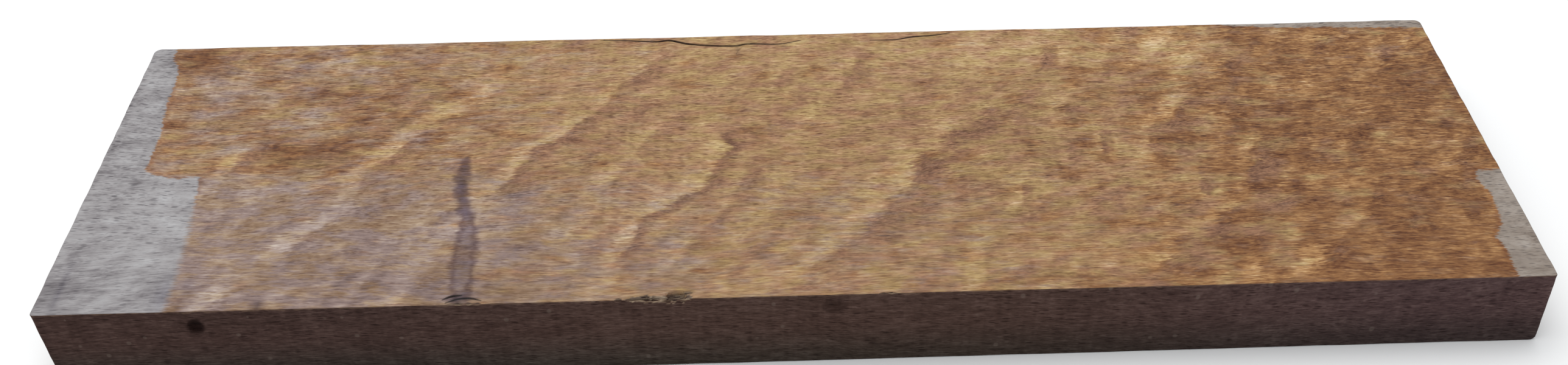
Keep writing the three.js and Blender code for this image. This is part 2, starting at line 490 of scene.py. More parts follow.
for (cx, cy, cz), (hx, hy, hz) in PITS:
    room = 1 - ((x - cx) / hx) ** 2 - ((y - cy) / hy) ** 2
    floor_of_pit = cz - hz * np.sqrt(np.maximum(room, 0))
    sinks = (room > 0) & (z > floor_of_pit) & (z > cz - hz)
    z = np.where(sinks, floor_of_pit, z)
    torn = np.maximum(torn, ease(room, 0, 0.3) * sinks)
print("pushed in by tears and pits:", int((torn > 0).sum()), "points")

# %% Sink the knots and wear the foot
knot = np.zeros(len(x))
back_by = y - FRONT
for (cx, cy, cz), (hx, hy, hz), dark in KNOTS:
    room = 1 - ((x - cx) / hx) ** 2 - ((z - cz) / hz) ** 2
    back_of_knot = cy + hy * np.sqrt(np.maximum(room, 0))
    y = np.where(on_front & (room > 0), np.maximum(y, back_of_knot), y)
    knot = np.maximum(knot, dark * ease(room, -0.35, 0.45) * ease(back_by, 3, 0))

foot_x = as_sawn(RIGHT, FRONT, 0)[0]
worn_radius = np.interp(y - FRONT, WEAR_FROM_FRONT, WEAR_RADIUS)
past_x, past_z = x - (foot_x - worn_radius), worn_radius - z
reach = np.hypot(past_x, past_z)
worn = (past_x > 0) & (past_z > 0) & (reach > worn_radius)
x = np.where(worn, foot_x - worn_radius * (1 - past_x / reach), x)
z = np.where(worn, worn_radius * (1 - past_z / reach), z)
print("pushed in by knots:", int((knot > 0).sum()), "points, by wear:", int(worn.sum()))

# %% [markdown]
# ## A drawing board for the figure
#
# Figure is the pattern of light and dark bands across a board. It comes from fibres that don't
# lie flat in the plank. Where they dip one way they shine, and where they rise the other way they
# look dark, because we look into their cut ends. That shine and dark move with the light and the
# view, so here they are painted into the colour as seen from the front: a painted sheen and a
# painted shade over a pattern that is the wood's own.
#
# So one field sets both the light and the direction of the fibres. It is drawn on a flat table
# with a cell for each millimetre, larger than the board, and the mesh reads the table at its own
# points. Bold bands follow crest lines, each the middle of a light ridge. Just past the ridge the
# light turns to dark at a crisp edge. A crisp edge would blur between the mesh's points, so the
# table keeps the distance past the edge instead, which is smooth, and the material draws the edge
# from it. Where two bands meet, that distance jumps, so both fade out there. The fainter mottle
# between the bands is scattered at random at about the same angle.

# %% The table and how to read it
CELL = 1.0
table_x = np.arange(-360, 361, CELL)
table_y = np.arange(-130, 131, CELL)
across, along = np.meshgrid(table_x, table_y)


def soften(table, size, width=None, lean=0.0):
    """Blurs a table with a bell, by a product of its frequencies. The bell is size mm long in the
    direction lean, in degrees from X, and width mm wide across that."""
    rows = np.fft.fftfreq(table.shape[0], CELL)[:, None]
    columns = np.fft.fftfreq(table.shape[1], CELL)[None, :]
    turn = math.radians(lean)
    lengthwise = columns * math.cos(turn) + rows * math.sin(turn)
    crosswise = rows * math.cos(turn) - columns * math.sin(turn)
    bell = (lengthwise * size) ** 2 + (crosswise * (width or size)) ** 2
    return np.fft.ifft2(np.fft.fft2(table) * np.exp(-2 * np.pi**2 * bell)).real


def clouds(seed, size, width=None, lean=0.0):
    """Blurred random numbers with mean 0 and spread 1."""
    table = soften(np.random.default_rng(seed).normal(size=across.shape), size, width, lean)
    return (table - table.mean()) / table.std()


def read(table, at_x, at_y):
    """Reads a table between its cells, with a linear blend of the four nearest."""
    column = np.clip((at_x - table_x[0]) / CELL, 0, len(table_x) - 1.001)
    row = np.clip((at_y - table_y[0]) / CELL, 0, len(table_y) - 1.001)
    i, j = column.astype(int), row.astype(int)
    s, t = column - i, row - j
    near = (1 - s) * table[j, i] + s * table[j, i + 1]
    far = (1 - s) * table[j + 1, i] + s * table[j + 1, i + 1]
    return (1 - t) * near + t * far


print("table:", across.shape)

# %% Crests of the bold bands
# light and dark are how strong the two sides are, and reach is how many mm each of them is wide
BANDS = [
    {"crest": [(-243, -90), (-232, -75), (-219, -60), (-211, -45), (-197, -30), (-194, -15),
               (-187, 0), (-176, 15), (-165, 30), (-147, 45), (-137, 62)],
     "light": 0.95, "dark": 0.35, "reach": (9, 13)},
    {"crest": [(-137, -25), (-127.6, -10), (-120.6, 5), (-106, 20), (-92.6, 35), (-85.6, 50),
               (-75.6, 65), (-70, 76)], "light": 0.66, "dark": 0.64, "reach": (8, 9)},
    {"crest": [(-81, -68), (-76, -58), (-72.5, -45), (-60, -30), (-43.5, -15), (-38, 0),
               (-36, 11)], "light": 0.90, "dark": 0.85, "reach": (9, 5)},
    {"crest": [(-3.4, -80), (4.6, -65), (20, -50), (34.6, -35), (43, -20), (51, -5), (64, 10),
               (78, 25)], "light": 0.72, "dark": 0.85, "reach": (11, 12)},
    {"crest": [(12.4, 38.2), (18.6, 53.7), (24.8, 69.2)], "light": 0.70, "dark": 0.62,
     "reach": (7, 6)},
    {"crest": [(152, -12), (155, 0), (156.5, 10), (167, 25), (176, 33)], "light": 0.60,
     "dark": 0.85, "reach": (8, 12)},
    {"crest": [(184, 42), (193, 50), (198, 62)], "light": 0.30, "dark": 0.75, "reach": (14, 12)},
    {"crest": [(129, -6), (133.5, 12)], "light": 0.45, "dark": 0.85, "reach": (6, 5)},
    {"crest": [(87, -44), (91, -33), (95, -20)], "light": 0.42, "dark": 0.45, "reach": (6, 6)},
    {"crest": [(166, -38), (168, -28), (169, -14)], "light": 0.60, "dark": 1.1,
     "reach": (7, 8)},
    {"crest": [(140, -80), (151, -64), (164, -51), (181, -40), (190, -24), (196, -8), (200, 8)],
     "light": 0.45, "dark": 0.68, "reach": (6, 18)},
    {"crest": [(109, 56), (113, 66), (117, 76)], "light": 0.1, "dark": 0.70, "reach": (5, 7)},
    {"crest": [(266, 50), (272, 62), (279, 76)], "light": 0.55, "dark": 0.60, "reach": (6, 8)},
    {"crest": [(281, -22), (288, -12), (292, -2)], "light": 0.45, "dark": 0.70, "reach": (6, 7)},
    {"crest": [(201.5, -82), (213.9, -65.7)], "light": 1.2, "dark": 0.7, "reach": (9, 12)},
    {"crest": [(214, -70), (231, -50)], "light": 0.4, "dark": 0.35, "reach": (8, 8)},
    {"crest": [(-158.1, -64), (-146, -40)], "light": 0.80, "dark": 0.1, "reach": (9, 5)},
    {"crest": [(-257, -18), (-252, -3), (-245, 14)], "light": 0.75, "dark": 0.30,
     "reach": (8, 12)},
    {"crest": [(-226, 30), (-216, 46)], "light": 0.45, "dark": 0.05, "reach": (7, 8)},
    {"crest": [(80.6, 46), (89.9, 66)], "light": 0.45, "dark": 0.1, "reach": (12, 9)},
    {"crest": [(-104, -52), (-95, -40)], "light": 0.45, "dark": 0.10, "reach": (7, 6)},
]
print("bold bands:", len(BANDS))

# %% Draw the bold bands
EDGE_OF_LIGHT = 4.5
END_SLANT = 0.6  # past its ends a crest goes on at this many mm along X for each mm along Y
FADE_OUT, FADE_IN = 9, 5  # a band is gone this far past its ends, and whole this far inside them
JUMP = 0.4  # a step between two cells that is too large for one band


def across_band(crest, reach):
    """How far each cell lies past a band's edge of light, which is EDGE_OF_LIGHT mm to the right
    of its crest: below 0 on the light side, above 0 on the dark side, in reaches of that side.
    Also how much of the band is left there, which fades past both its ends and far from it."""
    points = np.array(crest, float)
    before, after = 2 * points[0] - points[1], 2 * points[-1] - points[-2]
    path = smooth_path(np.vstack([before, points, after]))
    crest_x = np.interp(table_y, path[:, 1], path[:, 0])
    sine = 1 / np.hypot(1, np.clip(np.gradient(crest_x, table_y), 0.3, 1.5))[:, None]
    past_end = along - np.clip(along, path[0, 1], path[-1, 1])
    past_edge = (warped_x - crest_x[:, None] - END_SLANT * past_end) * sine - EDGE_OF_LIGHT
    past_edge = past_edge / np.where(past_edge < 0, *reach)
    first, last = points[0, 1], points[-1, 1]
    left = ease(along, first - FADE_OUT, first + FADE_IN) * ease(abs(past_edge), 2.0, 1.5)
    return past_edge, left * ease(along, last + FADE_OUT, last - FADE_IN)


warped_x = across + 1.3 * clouds(31, 6, 4) + 0.8 * clouds(32, 7, 2)
band_edge = np.full(across.shape, 3.0)
band_light, band_dark, nearest = (np.zeros(across.shape) for _ in range(3))
broken = np.clip(1 + 0.28 * clouds(47, 5, 2.5) + 0.22 * clouds(48, 5, 5), 0.35, 1.6)
for one in BANDS:
    past_edge, left = across_band(one["crest"], one["reach"])
    closer = left > nearest
    band_edge = np.where(closer, past_edge, band_edge)
    band_light = np.where(closer, one["light"] * left * broken, band_light)
    band_dark = np.where(closer, one["dark"] * left * broken, band_dark)
    nearest = np.maximum(nearest, left)
jumps = np.hypot(*np.gradient(band_edge)) > JUMP
calm = ease(soften(jumps.astype(float), 1.6), 0.15, 0.02)
band_light *= calm
band_dark *= calm
# In reaches past the edge: each side of a band comes in over its FROM step and goes out over
# its TO step. The material uses the same four steps.
LIGHT_FROM, LIGHT_TO = (-1.25, -0.6), (0.2, -0.25)
DARK_FROM, DARK_TO = (-0.2, 0.25), (1.5, 0.2)
bold = band_light * ease(band_edge, *LIGHT_FROM) * ease(band_edge, *LIGHT_TO)
bold -= band_dark * ease(band_edge, *DARK_FROM) * ease(band_edge, *DARK_TO)
print("bold bands: from", round(bold.min(), 2), "to", round(bold.max(), 2))

# %% [markdown]
# ## The mottle between the bands
#
# Between the bold bands the surface is full of small waves, too many to follow one by one. Plain
# clouds of noise would look like smoke. Real waves have crisp crests, light on one side and dark
# on the other, so each cloud is folded where it passes through 0, and the slope of the folded
# cloud is what we use. Its light and dark sides are a painted highlight and a painted shade.

# %% Faint mottle
MOTTLE_LEAN = 57.0


def creases(seed, long, wide):
    """A field of small waves with sharp crests. The size of a cloud has a crease wherever the
    cloud passes through 0, and its slope along X is light to the left of a crease and dark to
    its right."""
    cloud = clouds(seed, long, wide, MOTTLE_LEAN) + 0.5 * clouds(seed + 1, wide, 0.7 * wide, 30)
    slope_of_size = np.gradient(soften(-abs(cloud), 0.6), axis=1)
    return slope_of_size / slope_of_size.std()


# the mottle's light and dark sides are a painted highlight and a painted shade
mottle = 0.55 * creases(41, 13, 6.0) + 0.35 * creases(43, 7, 3.2) + 0.50 * clouds(45, 8, 2.8, 12)
mottle_strength = 0.25 + 0.20 * ease(across, 90, 230) + 0.06 * ease(across, -100, -180)
mottle_strength += 0.06 * ease(along, 0, -40)
mottle_table = mottle_strength * mottle * (1 - 0.6 * abs(bold).clip(0, 1))
figure_table = bold + mottle_table
print("figure:", round(figure_table.std(), 2), "spread")

# %% [markdown]
# ## How the fibres run
#
# Two tables say where a fibre goes. Rise is how far it climbs towards the top face, and it is the
# running sum of its slope along the board. The slope is steep where the figure is dark. Sway is
# how far it bends sideways, which gives the long arching lines.
#
# With both, each point of the wood gets a place in a straightened board, called grain. There the
# fibres are all parallel to X, so a material needs no more than long thin noise. Where fibres
# rise steeply, the face cuts through the long noise at an angle, and long dashes turn into dots,
# just as they do in real wood.

# %% Rise, sway and the straightened board
MEAN_SLOPE = 0.03
DARK_SLOPE = 0.26  # how much steeper the fibres climb for each step that the figure is darker
# middle x, middle y, reach x, reach y, height: a hump that the fibres arch over
BENDS = [
    (120, 38, 42, 26, 5.0), (20, 55, 40, 18, 1.2), (-215, 45, 34, 24, -3.0),
    (-95, -70, 34, 14, -1.8), (40, -80, 30, 14, 2.4), (205, -72, 45, 20, 3.0),
    (-20, -10, 34, 14, 1.6), (265, 30, 26, 24, 2.4), (-150, 66, 36, 14, -1.6),
    (-205, -48, 26, 18, 2.2), (98, -10, 22, 12, 2.0), (-272, 25, 22, 26, -4.0),
]
slope_table = MEAN_SLOPE - 0.02 * figure_table
slope_table += DARK_SLOPE * np.maximum(-figure_table - 0.12, 0)
slope_table += 0.02 * clouds(51, 18, 10)
rise_table = np.cumsum(slope_table - MEAN_SLOPE, axis=1) * CELL
rise_table = MEAN_SLOPE * across + soften(rise_table - soften(rise_table, 30), 0.8)
sway_table = 1.3 * clouds(52, 26, 12) + 0.22 * clouds(53, 7, 4.5) + 0.5 * soften(figure_table, 2.5)
for middle_x, middle_y, reach_x, reach_y, height in BENDS:
    off = ((across - middle_x) / reach_x) ** 2 + ((along - middle_y) / reach_y) ** 2
    sway_table -= height * np.exp(-off)

DEPTH_SHIFT = (0.35, -0.30)  # how far the figure moves along X and Y for each mm of depth
below_top = thickness_at(x) - z
figure_x = x - DEPTH_SHIFT[0] * below_top
figure_y = y - DEPTH_SHIFT[1] * below_top
figure = read(figure_table, figure_x, figure_y)
mottle_here = read(mottle_table, figure_x, figure_y)
rise = read(rise_table, figure_x, figure_y)
sway = read(sway_table, figure_x, figure_y)
grain = np.column_stack([x, y + sway, z + rise])
print("rise:", round(rise.min(), 1), "to", round(rise.max(), 1), "mm, sway:",
      round(sway.min(), 1), "to", round(sway.max(), 1), "mm")

# %% [markdown]
# ## Where the water went
#
# The wiped area is a closed outline, and the mineral streak is a path with a width at each point.
# On top of the broad trends lie single patches, such as a paler spot or a stain. Each is a soft
# round bump with its middle, its reach and its amount, so a list of them is easy to read and to
# change.

# %% Outline of the water and path of the streak
WIPED = [
    (-293.9, 96), (-293.9, 88.6), (-294.6, 82.6), (-289.2, 72.6), (-287.9, 60.5), (-287.9, 44.4),
    (-285.9, 32.4), (-284.6, 19), (-285.2, 6.9), (-285.2, -1.8), (-276.5, -6.4), (-269.8, -7.8),
    (-260.4, -6.4), (-259.1, -17.2), (-257.8, -39.9), (-257.1, -53.3), (-255.8, -73.4),
    (-256.4, -100), (286.4, -100), (287.8, -74.4), (286.4, -66), (292, -57.5), (293.5, -46.3),
    (294.2, -37.9), (291.3, -29.5), (293.5, -23.9), (304, -23.2), (325, -23), (325, 82),
    (304.7, 83.5), (258.4, 85.6), (230.3, 86.3), (209.3, 89.1), (200, 96),
]
STREAK_PATH = [(-145.3, 4), (-145.6, -6), (-146, -13.1), (-143.9, -26.5), (-141.3, -34.6),
               (-139.0, -48), (-139.2, -60), (-138.6, -73.4), (-137.2, -90)]
STREAK_HALF = [0.5, 2.8, 3.4, 2.8, 2.8, 4.2, 5.0, 4.8, 3.4]
print("outline of the water:", len(WIPED), "points, streak:", len(STREAK_PATH), "points")

# %% Single patches
# middle x, middle y, reach x, reach y, amount
PALER = [
    (-264, 55, 12, 20, 0.35), (-225, 68, 22, 10, 0.15), (-252, -14, 10, 12, 0.15),
    (-190, -25, 22, 14, -0.2), (-55, -72, 16, 14, 0.25), (30, -55, 14, 14, 0.15),
    (-218, 34, 9, 7, 0.55), (-248, 13, 9, 6, 0.6), (-158, -57, 10, 10, 0.3),
    (-192, -48, 9, 8, 0.2), (-92, -46, 8, 6, -0.3), (-246, -50, 12, 30, 0.35),
]
FRESHER = [(-225, 6, 34, 11, 1.0), (-276, 82, 22, 11, 0.8), (-200, 40, 30, 14, 0.5)]
WARMER = [
    (62, -8, 12, 7, 0.55), (0, -72, 34, 10, 0.3), (-100, -6, 16, 7, 0.3), (-230, 8, 30, 12, 0.15),
    (-280, 75, 16, 12, 0.4), (-150, 30, 30, 20, 0.2), (190, 70, 24, 12, -0.4),
    (95, 75, 30, 12, -0.2), (255, -70, 30, 22, 0.3), (250, 45, 30, 30, 0.2),
    (-247, -55, 14, 34, -0.5),
]
LIGHTER = [
    (95, 75, 40, 16, 0.10), (150, 45, 40, 40, 0.03), (-272, -30, 12, 26, 0.10),
    (178, 68, 28, 14, 0.12), (0, -78, 24, 9, 0.13), (-252, -14, 8, 8, 0.08),
    (-52, -78, 14, 6, -0.04), (-25, 52, 24, 14, 0.04), (62, 60, 20, 14, 0.04),
    (142, -28, 18, 18, 0.07), (135, -74, 14, 10, 0.07), (-190, -25, 20, 14, 0.05),
    (-140, -36, 6, 14, 0.05), (-138, -66, 6, 14, 0.05), (-218, 34, 8, 6, 0.07),
    (-248, 13, 8, 5, 0.08), (-160, -58, 9, 9, 0.05), (-92, -46, 8, 5, 0.04),
]
DARKER = [
    (-165, -70, 50, 22, 0.04), (20, -60, 90, 30, 0.02), (80, -60, 12, 12, 0.06),
    (110, 0, 60, 40, 0.02), (-303, -80, 14, 22, 0.24), (-264, -80, 9, 12, 0.06),
    (-304, 20, 7, 50, 0.05), (172, -70, 18, 12, 0.06), (222, 4, 6, 12, 0.06),
    (-29.8, 8, 2.8, 6, 0.24), (-212, 5, 26, 10, 0.10), (-285, 78, 14, 12, 0.18),
    (-120, -84, 12, 9, 0.10), (212, 83, 8, 8, 0.10), (-60, -80, 10, 8, 0.05),
    (-190, -76, 14, 10, 0.08), (-175, -30, 7, 9, 0.08), (-172, 60, 9, 9, 0.08),
    (-200, 40, 50, 50, 0.04), (-195, -75, 20, 14, 0.03), (215, 15, 20, 24, 0.03),
    (285, 30, 26, 30, 0.05), (-60, 75, 60, 14, -0.03), (-148, -79, 7, 7, 0.08),
    (-117, -78, 9, 6, 0.05), (-117, -56, 4, 5, 0.08), (-71, -71, 8, 6, 0.07),
    (-172, -82, 12, 7, 0.04),
]
STAINED = [
    (-217.6, -88, 2.2, 4, 0.9), (-248.4, -74.7, 3, 4, 0.5), (-247, -82, 8, 9, 0.35),
    (-257, -80, 3, 9, 0.4), (-25.5, 77, 1.2, 5, 0.45), (-299.3, -76, 1.2, 12, 0.45),
    (-138, -86.5, 6, 3, 0.7), (-120, -84, 10, 7, 0.25), (-152, -84, 5, 7, 0.2),
]


def painted(patches):
    """Sums soft round patches. Each is its amount in its middle and about 0 past its reach."""
    middle_x, middle_y, reach_x, reach_y, amount = np.array(patches).T[:, :, None]
    off = ((x - middle_x) / reach_x) ** 2 + ((y - middle_y) / reach_y) ** 2
    return (amount * np.exp(-off)).sum(axis=0)


print("patches:", sum(len(p) for p in (PALER, FRESHER, WARMER, LIGHTER, DARKER, STAINED)))

# %% [markdown]
# ## Numbers for wet, dry and stained wood
#
# The mesh stores each point's distance to the outline, more than 0 inside. A material can then
# make the edge as sharp and as ragged as it likes, whatever the size of the mesh's faces. The
# streak is stored in the same way.
#
# The water dries from the front. Behind a line near the middle it is fresh and golden, and in
# front of that line the wood is paler and a little mauve. The right end is the most orange. All
# of this could be painted in a picture, but sums of simple steps are easier to change, and they
# stay sharp at any size.

# %% How wet, dry and stained each point is
FRESH_FRONT = -6  # y of the front edge of the fresh strokes at the left end
FRESH_STEP = 7  # how much further back that edge lies from x = -60 on
NO_STREAK = -6  # half the streak's width behind its back end, where there is none


def inside_by(outline, at_x, at_y):
    """Distance to a closed outline, above 0 inside it. A point is inside if a ray from it crosses
    the outline an odd number of times."""
    closed = np.vstack([outline, outline[0]])
    distance, _ = beside(closed, at_x, at_y)
    odd = np.zeros(at_x.shape, bool)
    for (x0, y0), (x1, y1) in zip(closed[:-1], closed[1:]):
        if y0 != y1:
            spans = (y0 > at_y) != (y1 > at_y)
            odd ^= spans & (at_x < x0 + (at_y - y0) * (x1 - x0) / (y1 - y0))
    return np.where(odd, distance, -distance)


damp = inside_by(np.array(WIPED), x, y)
streak_way = np.array(STREAK_PATH)[::-1]
streak_x = np.interp(y, streak_way[:, 1], streak_way[:, 0])
streak_half = np.interp(y, streak_way[:, 1], STREAK_HALF[::-1], right=NO_STREAK)
streak = streak_half - abs(x - streak_x + 0.5 * wander(x, y, (9, 6), seed=61))
fresh_line = FRESH_FRONT + 1.5 * wander(x, 0 * x, (40, 1), seed=62)
fresh_line += FRESH_STEP * ease(x, -120, -60)

# most of the drying is at the front left, in clouds, with a step at the fresh line
drying = ease(x, -10, -220) * (0.46 + 0.54 * ease(y, 10, -40))
drying *= 0.85 + 0.25 * wander(x, y, (30, 14), seed=63)
drying += 0.12 * ease(y, fresh_line + 1, fresh_line - 1) * ease(x, -120, -230)
drying += 0.30 * ease(y, fresh_line, -30) * ease(x, 150, 40)
drying += painted(PALER)
drying -= 0.5 * painted(FRESHER) * ease(y, fresh_line - 1, fresh_line + 1)

# orange grows towards the right end, and a little at the left end and along the front
warmth = ease(x, 50, 270) + 0.45 * ease(x, -80, -200) + 0.25 * ease(y, -60, -88) * ease(x, 40, 120)
warmth += 0.26 * wander(x, y, (22, 12), seed=64)
warmth += painted(WARMER)

shade = -0.04 - 0.02 * ease(x, -120, -200) * ease(y, -5, 10) + painted(LIGHTER) - painted(DARKER)
shade += 0.04 * ease(y, 50, 75) * ease(x, -110, -60)
stain = painted(STAINED)
print("wiped:", round((damp[on_top] > 0).mean(), 2), "of the top face's points")

# %% [markdown]
# ## Relief and the finished mesh
#
# Wetting raises the grain, so the planed face is not quite flat: it follows the figure by a
# tenth of a millimetre or so. The sawn sides wave a little too. A bump in the material would do
# for the shading, but only moved points show at the board's outline. All relief goes into the
# wood, so that the board never grows past its real size.

# %% Relief
def planed_relief():
    """How far the top lies below its own plane: more where the figure is dark, with a little
    noise."""
    soft = 0.06 - 0.02 * figure + 0.02 * wander(x, y, (7, 3), seed=71)
    return np.maximum(soft, 0)


def sawn_relief():
    """Shallow waves across the sawn faces, as a wandering blade leaves them."""
    return 0.08 * np.abs(wander(x + 0.5 * z, y + z, (60, 18), seed=72))


from_top = np.clip(below_top, 0, None)
z = z - depth_in_wood - planed_relief() * on_top * ease(crack_gap, -0.5, 0.8)
side_share = ease(from_top, 0.5, 2.0) * ease(z, 0.2, 1.5)
y = y - np.sign(y) * sawn_relief() * side_share * (abs(y) > WIDTH / 2 - 1.2)
x = x - np.sign(x) * sawn_relief() * side_share * on_end
edge = np.minimum(np.minimum(y - FRONT, BACK - y), np.minimum(x - low.x / MM, high.x / MM - x))
edge = np.where(on_top, edge, from_top)
print("top lies between", round(z[on_top].min(), 2), "and", round(z[on_top].max(), 2), "mm")

# %% [markdown]
# ## Torn fibres
#
# Where a strip tore away, a few fibres stay behind and curl. Each is a thin spike: a square
# section that shrinks from root to tip along a bent line. The roots are sunk into the torn wood.

# %% Make the torn fibres
FIBRE_STEPS = 6
FIBRE_RADIUS = 0.24
TIP_LOSS = 0.97  # the share of its radius that a fibre has lost at its tip
# x, distance from the front face and drop below the top at the root, length, lift at the tip
TORN_FIBRES = [
    (-77, 0.7, 0.5, 14, -0.1), (-72, 1.2, 0.7, 12, 0.2), (-66, 1.6, 1.0, 11, 0.3),
    (-60, 1.3, 1.5, 9, -0.2), (-57, 2.3, 1.2, 7, 0.5), (-55, 3.0, 1.0, 6, 0.7),
    (-53, 2.2, 2.2, 5, 0.4), (-52, 3.1, 1.4, 6, 0.3), (-50, 2.0, 1.9, 5, 0.6),
    (-141, 0.8, 0.6, 7, 0.2), (-137, 1.1, 0.8, 6, 0.1), (29.5, 0.5, 0.4, 6, 0.3),
    (31, 0.8, 0.6, 5, 0.2), (33, 0.5, 0.9, 4.5, 0.4), (177, 0.5, 0.4, 4, 0.2),
]


def torn_fibres():
    """Points and faces of all spikes. Along a spike, t goes from 0 to 1: its middle line goes
    length * t along X and lift * t^2 up, and its radius loses TIP_LOSS * t^1.5 of its size."""
    root_x, back_by, drop, length, lift = np.array(TORN_FIBRES).T[:, :, None, None]
    t = np.linspace(0, 1, FIBRE_STEPS)[None, :, None]
    turn = np.arange(4)[None, None, :] * np.pi / 2
    thick = FIBRE_RADIUS * (1 - TIP_LOSS * t**1.5)
    spike_x = root_x + length * t + 0 * turn
    spike_y = FRONT + back_by + 0.25 * np.sin(3 * t + root_x) + thick * np.cos(turn)
    spike_z = thickness_at(root_x) - drop + lift * t**2 + 0.6 * thick * np.sin(turn)
    points = np.stack([spike_x, np.maximum(spike_y, FRONT + 0.05), spike_z], axis=-1)
    number = np.arange(points[..., 0].size).reshape(points.shape[:3])
    after = np.roll(number, -1, axis=2)
    walls = np.stack([number[:, :-1], after[:, :-1], after[:, 1:], number[:, 1:]], axis=-1)
    faces = walls.reshape(-1, 4).tolist()
    faces += number[:, 0, ::-1].tolist() + number[:, -1].tolist()
    return points.reshape(-1, 3), faces


fibre_points, fibre_faces = torn_fibres()
print("torn fibres:", len(TORN_FIBRES), "with", len(fibre_faces), "faces")

# %% [markdown]
# ## Build the mesh
#
# The arrays go into one mesh, in metres, together with the fields that the materials will read.
# Each field is a point attribute with a plain name. The face lists are joined in a fixed order,
# and each side of the block gets its own finish: planed wood, sawn wood or end grain.

# %% Join everything in one mesh
FINISH_OF_SIDE = {"top": 0, "front": 1, "back": 1, "under": 1, "right": 2, "left": 2}
offset = len(x)
all_faces = [face for name in sides for face in sides[name]]
all_faces += [[corner + offset for corner in face] for face in fibre_faces]
finishes = np.concatenate([
    *(np.full(len(sides[name]), FINISH_OF_SIDE[name]) for name in sides),
    np.zeros(len(fibre_faces), int),
])
places = np.vstack([np.column_stack([x, y, z]), fibre_points])
fields = {
    "mottle": mottle_here, "band_edge": read(band_edge, figure_x, figure_y),
    "band_light": read(band_light, figure_x, figure_y),
    "band_dark": read(band_dark, figure_x, figure_y), "damp": damp, "drying": drying,
    "warmth": warmth, "shade": shade, "streak": streak, "stain": stain, "crack": crack_gap,
    "torn": torn, "knot": knot, "edge": edge,
}
fibre_fields = {"mottle": 0.8, "torn": 1, "damp": -FAR, "streak": -FAR, "crack": FAR, "edge": FAR}
FIBRE_GRAIN = (0.2, 1, 1)  # the streaks are five times as long on a torn fibre

mesh = bpy.data.meshes.new("billet_wood")
mesh.from_pydata(places * MM, [], all_faces)
mesh.polygons.foreach_set("material_index", finishes.astype(np.int32))
mesh.polygons.foreach_set("use_smooth", np.ones(len(all_faces), bool))
for name, values in fields.items():
    extra = np.full(len(fibre_points), fibre_fields.get(name, 0.0))
    attribute = mesh.attributes.new(name, "FLOAT", "POINT")
    attribute.data.foreach_set("value", np.concatenate([values, extra]).astype(np.float32))
attribute = mesh.attributes.new("grain", "FLOAT_VECTOR", "POINT")
grain = np.vstack([grain, fibre_points * FIBRE_GRAIN])
attribute.data.foreach_set("vector", grain.astype(np.float32).ravel())
mesh.validate(clean_customdata=False)
mesh.update()
wood = bpy.data.objects.new("billet_wood", mesh)
bpy.context.scene.collection.objects.link(wood)
print("mesh:", len(mesh.vertices), "points,", sum(len(p.vertices) - 2 for p in mesh.polygons),
      "triangles")

# %% [markdown]
# ## Small helpers for shader nodes
#
# Node trees get long. These helpers each add one node and give back its result, so that the
# materials below read like sums. A value may be a number or another node's socket.

# %% Node helpers
def feed(tree, socket, value):
    """Links a socket, or sets its number."""
    if isinstance(value, bpy.types.NodeSocket):
        tree.links.new(value, socket)
    else:
        socket.default_value = value


def work(tree, operation, *values, clamp=False):
    """One Math node."""
    node = tree.nodes.new("ShaderNodeMath")
    node.operation = operation
    node.use_clamp = clamp
    for socket, value in zip(node.inputs, values):
        feed(tree, socket, value)
    return node.outputs[0]


def weigh(tree, start, *pairs):
    """Start plus each value times its weight."""
    total = start
    for weight, value in pairs:
        total = work(tree, "MULTIPLY_ADD", value, weight, total)
    return total


def step(tree, value, start, end, low_value=0.0, high_value=1.0):
    """A smooth step from low_value to high_value, between start and end."""
    node = tree.nodes.new("ShaderNodeMapRange")
    node.interpolation_type = "SMOOTHSTEP"
    for socket, number in zip(node.inputs, (value, start, end, low_value, high_value)):
        feed(tree, socket, number)
    return node.outputs["Result"]


print("node helpers: feed, work, weigh, step")

# %% [markdown]
# The colours are written as a screen shows them, from 0 to 255, because that is how we see them
# and compare them. Strong light makes a surface look paler than its own colour and weak light
# makes it look darker, so each colour is divided by the strength of the light on its face.

# %% Colour helpers
def blend(tree, share, first, second, kind="MIX"):
    """A colour Mix node: first where share is 0, second where it is 1."""
    node = tree.nodes.new("ShaderNodeMix")
    node.data_type = "RGBA"
    node.blend_type = kind
    sockets = {socket.identifier: socket for socket in node.inputs}
    feed(tree, sockets["Factor_Float"], share)
    feed(tree, sockets["A_Color"], first)
    feed(tree, sockets["B_Color"], second)
    return next(s for s in node.outputs if s.identifier == "Result_Color")


def paint(red, green, blue, lit=1.0):
    """The colour of a surface that a screen shows as red, green and blue, 0 to 255. The shown
    colour is turned into linear light, then divided by how strongly the surface is lit."""
    share = np.array([red, green, blue]) / 255
    linear = np.where(share < 0.04045, share / 12.92, ((share + 0.055) / 1.055) ** 2.4)
    return (*(linear / lit).tolist(), 1.0)


def shades(tree, value, colours, lit=1.0):
    """A colour ramp with its stops evenly spaced, from dark to light."""
    node = tree.nodes.new("ShaderNodeValToRGB")
    stops = node.color_ramp.elements
    stops[0].color = paint(*colours[0], lit)
    stops[-1].color = paint(*colours[-1], lit)
    for number, colour in enumerate(colours[1:-1], start=1):
        stops.new(number / (len(colours) - 1)).color = paint(*colour, lit)
    feed(tree, node.inputs[0], value)
    return node.outputs["Color"]


print("colour helpers: blend, paint, shades")

# %% Attributes and groups
def field(tree, name):
    """A point attribute of the mesh: a vector for the grain, and a number for all others."""
    node = tree.nodes.new("ShaderNodeAttribute")
    node.attribute_name = name
    return node.outputs["Vector" if name == "grain" else "Fac"]


